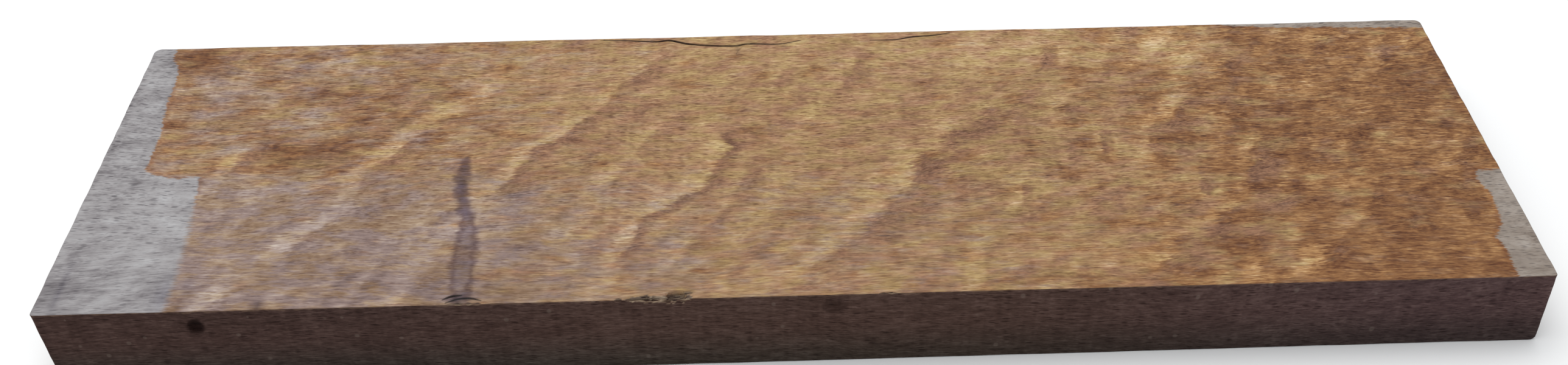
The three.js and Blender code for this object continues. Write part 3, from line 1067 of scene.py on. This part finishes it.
def new_group(name, inputs, outputs):
    """A node group with named sockets, and what it is given and what it gives back. inputs holds
    each default, and a tuple makes a vector."""
    group = bpy.data.node_groups.new(name, "ShaderNodeTree")
    for label, default in inputs.items():
        kind = "NodeSocketVector" if isinstance(default, tuple) else "NodeSocketFloat"
        socket = group.interface.new_socket(label, in_out="INPUT", socket_type=kind)
        socket.default_value = default
    for label in outputs:
        group.interface.new_socket(label, in_out="OUTPUT", socket_type="NodeSocketFloat")
    given = group.nodes.new("NodeGroupInput").outputs
    return group, given, group.nodes.new("NodeGroupOutput").inputs


def use(tree, group, **values):
    """Places a group in a tree and feeds its inputs. Returns its outputs."""
    node = tree.nodes.new("ShaderNodeGroup")
    node.node_tree = group
    for label, value in values.items():
        feed(tree, node.inputs[label], value)
    return node.outputs


print("group helpers: field, new_group, use")

# %% [markdown]
# ## Fibres and pores
#
# Two effects make wood look like wood, and all three finishes share them, so each is a node group.
#
# Streaks are noise in the straightened board, squeezed so that it is long along the fibres and
# thin across them. Pores are the cut vessels that show as dark dashes. They come from Voronoi
# cells, which scatter one middle in each cell: a pore is the space near that middle. Each cell's
# random colour makes some pores wide and leaves others out.

# %% Streaks
def squeeze(group, given):
    """The grain place divided by the length and the width, so that noise comes out long."""
    size = group.nodes.new("ShaderNodeCombineXYZ")
    for axis, label in zip("XYZ", ("Length", "Width", "Width")):
        feed(group, size.inputs[axis], given[label])
    squeezed = group.nodes.new("ShaderNodeVectorMath")
    squeezed.operation = "DIVIDE"
    feed(group, squeezed.inputs[0], given["Grain"])
    feed(group, squeezed.inputs[1], size.outputs[0])
    moved = group.nodes.new("ShaderNodeVectorMath")
    moved.operation = "ADD"
    feed(group, moved.inputs[0], squeezed.outputs[0])
    feed(group, moved.inputs[1], given["Shift"])
    return moved.outputs[0]


NOISE_SPREAD = 0.13
streaks, given, result = new_group(
    "fibre streaks", {"Grain": (0, 0, 0), "Length": 20.0, "Width": 1.0, "Shift": 0.0}, ["Streak"])
noise = streaks.nodes.new("ShaderNodeTexNoise")
noise.inputs["Scale"].default_value = 1.0
noise.inputs["Detail"].default_value = 1.5
noise.inputs["Roughness"].default_value = 0.5
feed(streaks, noise.inputs["Vector"], squeeze(streaks, given))
centred = work(streaks, "SUBTRACT", noise.outputs[0], 0.5)
feed(streaks, result["Streak"], work(streaks, "DIVIDE", centred, NOISE_SPREAD))


def streak_in(tree, fibres, length, width, shift):
    """One size of streak in a tree. The shift keeps it apart from the other sizes."""
    return use(tree, streaks, Grain=fibres, Length=length, Width=width, Shift=shift)[0]


print("group:", streaks.name)

# %% Pores
pores, given, result = new_group(
    "open pores",
    {"Grain": (0, 0, 0), "Length": 8.0, "Width": 0.8, "Radius": 0.4, "Shift": 0.0}, ["Pore"])
scatter = pores.nodes.new("ShaderNodeTexVoronoi")
scatter.inputs["Scale"].default_value = 1.0
feed(pores, scatter.inputs["Vector"], squeeze(pores, given))
chance = pores.nodes.new("ShaderNodeSeparateXYZ")
feed(pores, chance.inputs[0], scatter.outputs["Color"])
reach_of_pore = work(pores, "MULTIPLY", given["Radius"], step(pores, chance.outputs[0], 0.0, 0.8))
inner = work(pores, "MULTIPLY", reach_of_pore, 0.45)
pore = step(pores, scatter.outputs["Distance"], inner, reach_of_pore, 1.0, 0.0)
feed(pores, result["Pore"], pore)
print("group:", pores.name)

# %% [markdown]
# ## The tissue of the wood
#
# One more group joins the two. Tone is how pale the fibres are, with 0.5 for plain wood: short
# thin streaks and specks make most of it, and wider ones add a little. Crispness takes the
# finest of them and the pores down, for wood that is drying, and brings the wider ones up.
#
# Glow is the painted sheen and painted shade that the figure adds to the tone: in the light flanks
# some fibres flash almost white as painted highlights, and the dark flanks are dulled by painted
# shade. Hue says whether a fibre is more golden or more red, and the dark flanks are the reddest.
# Relief is for the bump: fibres stand up a little and pores are sunk.

# %% Tissue
tissue, given, result = new_group(
    "mahogany tissue", {"Grain": (0, 0, 0), "Figure": 0.0, "Crispness": 1.0},
    ["Tone", "Glow", "Hue", "Pore", "Relief"])
# length, width and shift of each kind of streak
TISSUE = {
    "broad": (40.0, 6.0, 3.0), "blotch": (7.0, 2.8, 7.0), "middle": (7.5, 1.0, 11.0),
    "thin": (6.0, 0.48, 5.0), "speck": (1.8, 0.6, 53.0), "lens": (5.0, 0.9, 23.0),
    "wash": (14.0, 6.0, 31.0),
}
broad, blotch, middle, thin, speck, lens, wash = (
    streak_in(tissue, given["Grain"], *size) for size in TISSUE.values())
fine = work(tissue, "MULTIPLY", weigh(tissue, 0.0, (0.095, thin), (0.050, speck)),
            given["Crispness"])
raised = work(tissue, "MAXIMUM", work(tissue, "SUBTRACT", 2.1, given["Crispness"]), 1.1)
coarse = work(tissue, "MULTIPLY", middle, raised)
tone = weigh(tissue, 0.5, (0.022, broad), (0.038, blotch), (0.052, coarse), (1.0, fine))
figured = weigh(tissue, given["Figure"], (0.14, lens), (0.08, blotch))
light_side = work(tissue, "MAXIMUM", figured, 0.0)
dark_side = work(tissue, "MINIMUM", figured, 0.0)
# painted highlights: fibres that flash almost white in the light flanks of the figure
flashes = work(tissue, "MULTIPLY", step(tissue, lens, 0.2, 1.7), light_side)
glow = weigh(tissue, 0.0, (0.18, light_side), (0.18, dark_side), (0.10, flashes))
hue = weigh(tissue, 0.0, (0.60, wash), (0.30, blotch), (-0.2, light_side), (-1.0, dark_side))

large_pores = use(tissue, pores, Grain=given["Grain"], Length=5.5, Width=0.9, Radius=0.40)[0]
small_pores = use(
    tissue, pores, Grain=given["Grain"], Length=3.6, Width=0.6, Radius=0.42, Shift=17.0)[0]
pore = work(tissue, "MAXIMUM", large_pores, work(tissue, "MULTIPLY", small_pores, 0.6))
pore = work(tissue, "MULTIPLY", pore, given["Crispness"])
for label, value in (("Tone", tone), ("Glow", glow), ("Hue", hue), ("Pore", pore)):
    feed(tissue, result[label], value)
feed(tissue, result["Relief"], weigh(tissue, 0.0, (0.25, thin), (0.25, middle), (-1.0, pore)))
print("group:", tissue.name)

# %% [markdown]
# ## The bands in the material
#
# This group draws a band's light and dark, a painted sheen and a painted shade, from the stored
# distance past its edge. It adds streaks to that distance first, so that the edge is frayed along
# the fibres, as the real one is.

# %% Band shading
bands, given, result = new_group(
    "bold bands",
    {"Grain": (0, 0, 0), "Edge": 3.0, "Light": 0.0, "Dark": 0.0, "Mottle": 0.0}, ["Figure"])
long_jag = streak_in(bands, given["Grain"], 8.0, 0.8, 67.0)
short_jag = streak_in(bands, given["Grain"], 3.0, 1.6, 69.0)
past_edge = weigh(bands, given["Edge"], (0.10, long_jag), (0.07, short_jag))
bright = work(bands, "MULTIPLY", step(bands, past_edge, *LIGHT_FROM),
              step(bands, past_edge, *LIGHT_TO))
shaded = work(bands, "MULTIPLY", step(bands, past_edge, *DARK_FROM),
              step(bands, past_edge, *DARK_TO))
lifted = work(bands, "MULTIPLY_ADD", bright, given["Light"], given["Mottle"])
dulled = work(bands, "MULTIPLY", shaded, given["Dark"])
feed(bands, result["Figure"], work(bands, "SUBTRACT", lifted, dulled))
print("group:", bands.name)

# %% [markdown]
# ## Wear and dust
#
# Two small groups serve the sawn faces and the ends. Wear is a mask along the edges, which is
# ragged because the wood there is knocked off in crumbs. Specks are scattered grains of pale
# sawdust.

# %% Wear and specks
wear, given, result = new_group(
    "edge wear", {"Grain": (0, 0, 0), "Edge": FAR, "Reach": 1.0}, ["Worn"])
crumbs = streak_in(wear, given["Grain"], 4.0, 1.2, 61.0)
worn_by = work(wear, "DIVIDE", weigh(wear, given["Edge"], (0.45, crumbs)), given["Reach"])
feed(wear, result["Worn"], step(wear, worn_by, 0.2, 1.0, 1.0, 0.0))

specks, given, result = new_group("sawdust", {"Grain": (0, 0, 0), "Size": 2.5}, ["Speck"])
speck = use(specks, pores, Grain=given["Grain"], Length=given["Size"], Width=given["Size"],
            Radius=0.16, Shift=71.0)[0]
feed(specks, result["Speck"], speck)
print("groups:", wear.name, specks.name)

# %% [markdown]
# ## Planed and wiped: the top
#
# The same fibres show in several colours: wet, drying and dry. They could be three materials, but
# then a fibre would end where the colour changes. So there is one material, in which each colour
# is a ramp over the same tone. TOP_LIT is the strength of the light on the top.

# %% Colours of the top
TOP_LIT = 1.16
GOLD = [(104, 74, 38), (138, 107, 66), (168, 137, 88), (195, 167, 112), (220, 199, 152)]
RUST = [(96, 62, 44), (130, 92, 68), (162, 119, 88), (190, 151, 114), (218, 190, 156)]
ORANGE = [(62, 25, 8), (103, 60, 30), (144, 99, 58), (185, 140, 90), (226, 190, 138)]
MAUVE = [(90, 71, 68), (119, 98, 93), (148, 126, 118), (175, 156, 146), (200, 185, 175)]
TAN = [(100, 70, 44), (128, 98, 72), (154, 127, 102), (180, 156, 130), (204, 186, 162)]
TORN = [(46, 30, 27), (66, 47, 40), (94, 76, 63), (130, 112, 93), (160, 142, 120)]
DRY_GREY = [(96, 90, 92), (130, 125, 126), (160, 156, 156), (176, 174, 174), (194, 193, 193)]
DRY_BEIGE = [(112, 98, 88), (134, 121, 110), (152, 140, 129), (168, 157, 147), (186, 178, 170)]
# each of these multiplies the colour of the wood
WET_PORE = (0.55, 0.44, 0.38)
DRY_PORE = (0.46, 0.45, 0.47)
BRIM = (0.80, 0.62, 0.50)
STAIN = (0.36, 0.33, 0.44)
# painted shade inside the splits and hairlines
CRACK_SHADE = (0.10, 0.07, 0.06)
HEART_BEHIND, HEART_IN_FRONT = (0.36, 0.34, 0.54, 1.0), (0.66, 0.66, 0.78, 1.0)
RIM_BEHIND, RIM_IN_FRONT = (0.42, 0.38, 0.50, 1.0), (0.48, 0.42, 0.48, 1.0)
print("ramps of the top have", len(GOLD), "shades each")

# %% Helpers of the finishes
def new_material(name):
    """A new material, its node tree and its Principled shader."""
    material = bpy.data.materials.new(name)
    material.use_nodes = True
    tree = material.node_tree
    return material, tree, tree.nodes["Principled BSDF"]


def grain_bump(tree, shader, relief, depth_mm):
    """Fine relief through the shader's normal."""
    bump = tree.nodes.new("ShaderNodeBump")
    bump.inputs["Distance"].default_value = depth_mm * MM
    bump.inputs["Strength"].default_value = 1.0
    feed(tree, bump.inputs["Height"], relief)
    feed(tree, shader.inputs["Normal"], bump.outputs[0])


def object_place(tree):
    """X, Y and Z of the board's own frame, in metres."""
    place = tree.nodes.new("ShaderNodeTexCoord")
    parts = tree.nodes.new("ShaderNodeSeparateXYZ")
    feed(tree, parts.inputs[0], place.outputs["Object"])
    return parts.outputs


def darken(tree, share, colour, dark):
    """Multiplies a colour by a darker one, so that its own pattern still shows."""
    return blend(tree, share, colour, (*dark, 1.0), "MULTIPLY")


def torn_colour(tree, grain_place, lit):
    """Torn wood: dark hollows with pale fibres between them."""
    strand = streak_in(tree, grain_place, 9.0, 0.7, 101.0)
    return shades(tree, weigh(tree, 0.5, (0.34, strand)), TORN, lit)


print("helpers: new_material, grain_bump, object_place, darken, torn_colour")

# %% [markdown]
# Where the wood is wet it is golden with rusty streaks, and orange at the right end, but not in
# the dull flanks of the figure. The fibres look softer towards the front and the left.

# %% Wet wood
planed, tree, shader = new_material("planed_mahogany")
grain_place = field(tree, "grain")
figure_value = use(
    tree, bands, Grain=grain_place, Edge=field(tree, "band_edge"), Light=field(tree, "band_light"),
    Dark=field(tree, "band_dark"), Mottle=field(tree, "mottle"))[0]
place = object_place(tree)

# softer towards the front, and crisper again towards the right
crispness = work(tree, "ADD", step(tree, place["Y"], -0.09, 0.02, 0.6, 1.15),
                 step(tree, place["X"], 0.02, 0.18, 0.0, 0.25))
wood_now = use(tree, tissue, Grain=grain_place, Figure=figure_value, Crispness=crispness)
ragged = streak_in(tree, grain_place, 4.5, 0.8, 41.0)
# the tone takes the figure's painted sheen and painted shade from Glow
tone = weigh(tree, field(tree, "shade"), (1.0, wood_now["Tone"]), (1.0, wood_now["Glow"]))

# golden and rusty fibres, side by side
redness = weigh(tree, 0.50, (0.40, wood_now["Hue"]))
wet_colour = blend(tree, step(tree, redness, 0.0, 1.0), shades(tree, tone, GOLD, TOP_LIT),
                   shades(tree, tone, RUST, TOP_LIT))

# orange ones where the wood is warm, but not in the dull flanks
rusty = streak_in(tree, grain_place, 9.0, 3.5, 57.0)
dull = work(tree, "MINIMUM", wood_now["Glow"], 0.0)
warm = weigh(tree, 0.0, (1.0, field(tree, "warmth")), (0.16, wood_now["Hue"]), (0.20, rusty),
             (3.4, dull))
wet_colour = blend(tree, step(tree, warm, 0.0, 1.0), wet_colour,
                   shades(tree, tone, ORANGE, TOP_LIT))
print("material:", planed.name, "with", len(tree.nodes), "nodes so far")

# %% [markdown]
# Wood that is drying turns paler and milky. It isn't one colour: mauve and tan fibres lie side by
# side. The stored number says how far it has dried, and streaks are added to that number, so that
# the change has no smooth edge.

# %% Drying wood
# how far the wood has dried, with ragged edges and in patches
patchy = streak_in(tree, grain_place, 13.0, 4.0, 47.0)
pale = weigh(tree, -0.04, (1.10, field(tree, "drying")), (0.15, ragged), (0.18, patchy))
pale = step(tree, pale, 0.0, 1.1)

# mauve and tan fibres, side by side, and lighter behind the middle of the board
behind = step(tree, place["Y"], -0.02, 0.02, 0.0, 0.12)
pale_tone = work(tree, "ADD", tone, behind)
drying_hue = streak_in(tree, grain_place, 16.0, 6.0, 49.0)
drying_tan = step(tree, weigh(tree, 0.45, (0.45, drying_hue), (0.24, ragged)), 0.0, 1.0)
drying_colour = blend(tree, drying_tan, shades(tree, pale_tone, MAUVE, TOP_LIT),
                      shades(tree, pale_tone, TAN, TOP_LIT))
wet_colour = blend(tree, pale, wet_colour, drying_colour)
wet_colour = darken(tree, wood_now["Pore"], wet_colour, WET_PORE)
print("material:", planed.name, "with", len(tree.nodes), "nodes so far")

# %% [markdown]
# Dry wood is grey at the left end and beige at the right. The edge of the water comes from the
# stored distance, again with streaks added. It has a darker brim, and it is sharp except at the
# front left, where it dried last and faded.

# %% Dry wood and the edge of the water
# grey at the left end and beige at the right
cloud = streak_in(tree, grain_place, 14.0, 8.0, 83.0)
dry_shade = work(tree, "ADD", field(tree, "shade"), 0.1)
dry_tone = weigh(tree, dry_shade, (0.8, wood_now["Tone"]), (0.45, wood_now["Glow"]),
                 (0.08, cloud))
dry_colour = blend(tree, step(tree, place["X"], -0.22, 0.15),
                   shades(tree, dry_tone, DRY_GREY, TOP_LIT),
                   shades(tree, dry_tone, DRY_BEIGE, TOP_LIT))
dry_colour = darken(tree, wood_now["Pore"], dry_colour, DRY_PORE)

# the edge is 1 mm wide, and 4 mm with hardly any brim where it faded
wet_by = weigh(tree, field(tree, "damp"), (0.6, ragged))
at_left = step(tree, place["X"], -0.20, -0.24)
faded = work(tree, "MULTIPLY", step(tree, place["Y"], -0.010, -0.045), at_left)
wet = step(tree, wet_by, -0.4, weigh(tree, 0.6, (3.4, faded)))
brim = work(tree, "MULTIPLY", step(tree, wet_by, 3.0, 0.8), weigh(tree, 0.5, (-0.42, faded)))
wet_colour = darken(tree, brim, wet_colour, BRIM)
colour = blend(tree, wet, dry_colour, wet_colour)
print("wet and dry colours are joined")

# %% [markdown]
# The mineral streak and the stains darken the wood that is there, and the splits are darkened by
# painted shade, so all of them multiply its colour. The streak has a darker rim and a violet heart,
# which is fainter near the front. Torn wood is different: it covers what was there, because another
# layer shows.

# %% Streak, stains and cracks
streak_by = weigh(tree, field(tree, "streak"), (0.45, ragged))
in_streak = step(tree, streak_by, -1.6, 1.3)  # 0 outside the streak and 1 inside it
core = step(tree, streak_by, 0.8, 3.2)  # 1 in its heart, inside the rim
near_front = step(tree, place["Y"], -0.028, -0.050)
heart = blend(tree, near_front, HEART_BEHIND, HEART_IN_FRONT)
rim = blend(tree, near_front, RIM_BEHIND, RIM_IN_FRONT)
streak_colour = blend(tree, core, rim, heart)
colour = blend(tree, in_streak, colour, streak_colour, "MULTIPLY")
colour = darken(tree, field(tree, "stain"), colour, STAIN)
# painted shade inside the splits and hairlines
colour = darken(tree, step(tree, field(tree, "crack"), 0.55, -0.05), colour, CRACK_SHADE)
colour = blend(tree, field(tree, "torn"), colour, torn_colour(tree, grain_place, TOP_LIT))
feed(tree, shader.inputs["Base Color"], colour)
feed(tree, shader.inputs["Roughness"], step(tree, wet, 0.0, 1.0, 0.85, 0.62))
shader.inputs["Specular IOR Level"].default_value = 0.25
grain_bump(tree, shader, wood_now["Relief"], 0.09)
print("material:", planed.name, "with", len(tree.nodes), "nodes")

# %% [markdown]
# ## Sawn: the front, the back and the underside
#
# The sawn faces are dark, partly from their own old colour and partly from painted shade, the shade
# of a face turned away from the light, which the back and the underside take too. They have the
# same tissue, with less contrast. The front goes from dark brown at its left, over a warmer middle,
# to purple-brown at its right, so three ramps are blended along the board. It has painted shade
# near its foot as well, darker towards the bottom over its lowest 24 mm.
#
# Faint upright lines are marks of the saw, and they too are a noise: wide along the height and
# narrow along the board. So that noise gets Z, X and Y in place of X, Y and Z. The edges of these
# faces are knocked pale, and sawdust lies on them here and there.

# %% Colours of the sawn faces
SIDE_LIT = 0.85
# each sawn ramp holds the wood's own dark colour together with painted shade
SAWN_SHADED_LEFT = [(36, 25, 21), (48, 34, 30), (61, 45, 41), (76, 59, 54), (96, 78, 71)]
SAWN_SHADED_MIDDLE = [(40, 27, 22), (53, 38, 33), (67, 50, 44), (82, 64, 58), (102, 83, 75)]
SAWN_SHADED_RIGHT = [(42, 29, 30), (56, 41, 41), (70, 53, 52), (86, 68, 66), (108, 88, 84)]
SAWN_PORE = (0.55, 0.50, 0.50)
KNOT = (0.22, 0.17, 0.16)
# painted shade that the foot of the sawn faces is multiplied by, from left to right
FOOT_SHADE_LEFT, FOOT_SHADE_RIGHT = (0.72, 0.98, 0.98, 1.0), (0.60, 0.70, 0.68, 1.0)
WEAR_REACH = 0.9


def worn_and_dusty(tree, fibres, colour, worn, dusty, dust_gap):
    """Lays worn edges and then sawdust over a colour. Each has its strength and its shade, and
    one grain of dust lies in about every dust_gap mm."""
    masks = (
        use(tree, wear, Grain=fibres, Edge=field(tree, "edge"), Reach=WEAR_REACH)[0],
        use(tree, specks, Grain=fibres, Size=dust_gap)[0],
    )
    for mask, (strength, shade) in zip(masks, (worn, dusty)):
        share = work(tree, "MULTIPLY", mask, strength)
        colour = blend(tree, share, colour, paint(*shade, SIDE_LIT))
    return colour


print("ramps of the sides have", len(SAWN_SHADED_LEFT), "shades each")

# %% Sawn sides
sawn, tree, shader = new_material("sawn_mahogany")
grain_place = field(tree, "grain")
wood_now = use(tree, tissue, Grain=grain_place, Figure=field(tree, "mottle"))
place = object_place(tree)
saw_place = tree.nodes.new("ShaderNodeCombineXYZ")
for into, taken in zip("XYZ", "ZXY"):
    feed(tree, saw_place.inputs[into], work(tree, "MULTIPLY", place[taken], 1 / MM))
saw_mark = streak_in(tree, saw_place.outputs[0], 60.0, 2.2, 91.0)
tone = weigh(tree, 0.0, (1.0, wood_now["Tone"]), (0.35, wood_now["Glow"]), (0.025, saw_mark))
# the sawn colour is partly painted shade, for a face turned away from the light
colour = blend(tree, step(tree, place["X"], -0.20, -0.02),
               shades(tree, tone, SAWN_SHADED_LEFT, SIDE_LIT), shades(tree, tone, SAWN_SHADED_MIDDLE, SIDE_LIT))
colour = blend(tree, step(tree, place["X"], 0.06, 0.28), colour,
               shades(tree, tone, SAWN_SHADED_RIGHT, SIDE_LIT))
colour = darken(tree, wood_now["Pore"], colour, SAWN_PORE)
# painted shade at the foot: the face is darker and less red towards the bottom, over its lowest 24
# mm
foot = blend(tree, step(tree, place["X"], -0.20, 0.25), FOOT_SHADE_LEFT, FOOT_SHADE_RIGHT)
colour = blend(tree, step(tree, place["Z"], 0.024, 0.0), colour, foot, "MULTIPLY")
colour = darken(tree, field(tree, "knot"), colour, KNOT)
colour = blend(tree, field(tree, "torn"), colour, torn_colour(tree, grain_place, SIDE_LIT))
colour = worn_and_dusty(
    tree, grain_place, colour, (0.35, (112, 90, 74)), (0.15, (130, 118, 108)), 9.0)
feed(tree, shader.inputs["Base Color"], colour)
shader.inputs["Roughness"].default_value = 0.95
shader.inputs["Specular IOR Level"].default_value = 0.06
relief = weigh(tree, 0.0, (1.0, wood_now["Relief"]), (0.30, saw_mark))
grain_bump(tree, shader, relief, 0.12)
print("material:", sawn.name, "with", len(tree.nodes), "nodes")

# %% [markdown]
# ## End grain
#
# The ends show the cut vessels as dots, and the growth rings as faint arcs about the heart of the
# tree, which lay below the board. A ring is a band of darker tissue that comes back every few
# millimetres of distance from the heart, so it is a sine of that distance. The heart's place is
# in metres, because the materials read the board's own frame.

# %% End grain
END = [(46, 34, 28), (64, 49, 40), (84, 66, 54), (104, 84, 70), (128, 106, 90)]
END_PORE = (0.45, 0.42, 0.42)
HEART_Y, HEART_Z = -0.02, -0.12
RING_GAP = 5.5

ends, tree, shader = new_material("end_grain_mahogany")
grain_place = field(tree, "grain")
wood_now = use(tree, tissue, Grain=grain_place, Figure=field(tree, "mottle"))
place = object_place(tree)
across_heart = work(tree, "SUBTRACT", place["Y"], HEART_Y)
above_heart = work(tree, "SUBTRACT", place["Z"], HEART_Z)
squares = work(tree, "ADD", work(tree, "POWER", across_heart, 2.0),
               work(tree, "POWER", above_heart, 2.0))
from_heart = work(tree, "SQRT", squares)
ragged = streak_in(tree, grain_place, 40.0, 6.0, 97.0)
turns = weigh(tree, 0.0, (2 * math.pi / (RING_GAP * MM), from_heart), (0.9, ragged))
ring = work(tree, "SINE", turns)
tone = weigh(tree, 0.0, (1.0, wood_now["Tone"]), (0.06, ring), (0.3, wood_now["Glow"]))
colour = darken(tree, wood_now["Pore"], shades(tree, tone, END, SIDE_LIT), END_PORE)
colour = worn_and_dusty(
    tree, grain_place, colour, (0.3, (118, 98, 82)), (0.3, (136, 124, 112)), 4.0)
feed(tree, shader.inputs["Base Color"], colour)
shader.inputs["Roughness"].default_value = 0.9
shader.inputs["Specular IOR Level"].default_value = 0.2
grain_bump(tree, shader, wood_now["Relief"], 0.12)
print("material:", ends.name, "with", len(tree.nodes), "nodes")

# %% [markdown]
# ## Dress the board
#
# The mesh takes the three finishes in the order of its face numbers. The piece rides on the
# board's only body and stands in for the plain solid.

# %% Finish the piece
for material in (planed, sawn, ends):
    mesh.materials.append(material)
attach(wood, "root")
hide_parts(WOOD_NODE)
print("finishes:", [material.name for material in mesh.materials])

# %% [markdown]
# ## Floor and light
#
# The board lies on a pale floor, lit softly from above, so that its front is in shade. One large
# lamp overhead, a little to the left and behind, and a dim sky all round do that.

# %% Floor
FLOOR_SIZE = 12.0
floor_mesh = bpy.data.meshes.new("floor")
corners = np.array([(-1, -1), (1, -1), (1, 1), (-1, 1)]) * FLOOR_SIZE / 2
floor_mesh.from_pydata([(*corner, 0.0) for corner in corners], [], [(0, 1, 2, 3)])
floor_material, tree, shader = new_material("pale_floor")
shader.inputs["Base Color"].default_value = (0.92, 0.92, 0.91, 1.0)
shader.inputs["Roughness"].default_value = 0.9
floor_mesh.materials.append(floor_material)
floor = bpy.data.objects.new("floor", floor_mesh)
bpy.context.scene.collection.objects.link(floor)
print("floor:", FLOOR_SIZE, "m wide")


# %% Lamp and sky
LAMP_AT = Vector((-0.4, 0.3, 1.9))
LAMP_SIZE = 1.6
LAMP_WATTS = 24
SKY_COLOUR = (0.95, 0.97, 1.0, 1.0)
SKY_STRENGTH = 0.75

lamp_data = bpy.data.lights.new("window", "AREA")
lamp_data.shape = "SQUARE"
lamp_data.size = LAMP_SIZE
lamp_data.energy = LAMP_WATTS
lamp = bpy.data.objects.new("window", lamp_data)
lamp.location = LAMP_AT
lamp.rotation_euler = LAMP_AT.to_track_quat("Z", "Y").to_euler()  # its Z points away from the board
bpy.context.scene.collection.objects.link(lamp)

world = bpy.data.worlds.new("dim_sky")
bpy.context.scene.world = world
world.use_nodes = True
sky = world.node_tree.nodes["Background"]
sky.inputs["Color"].default_value = SKY_COLOUR
sky.inputs["Strength"].default_value = SKY_STRENGTH
bpy.context.scene.view_settings.view_transform = "Standard"
print("lamp:", LAMP_WATTS, "W, sky:", SKY_STRENGTH)
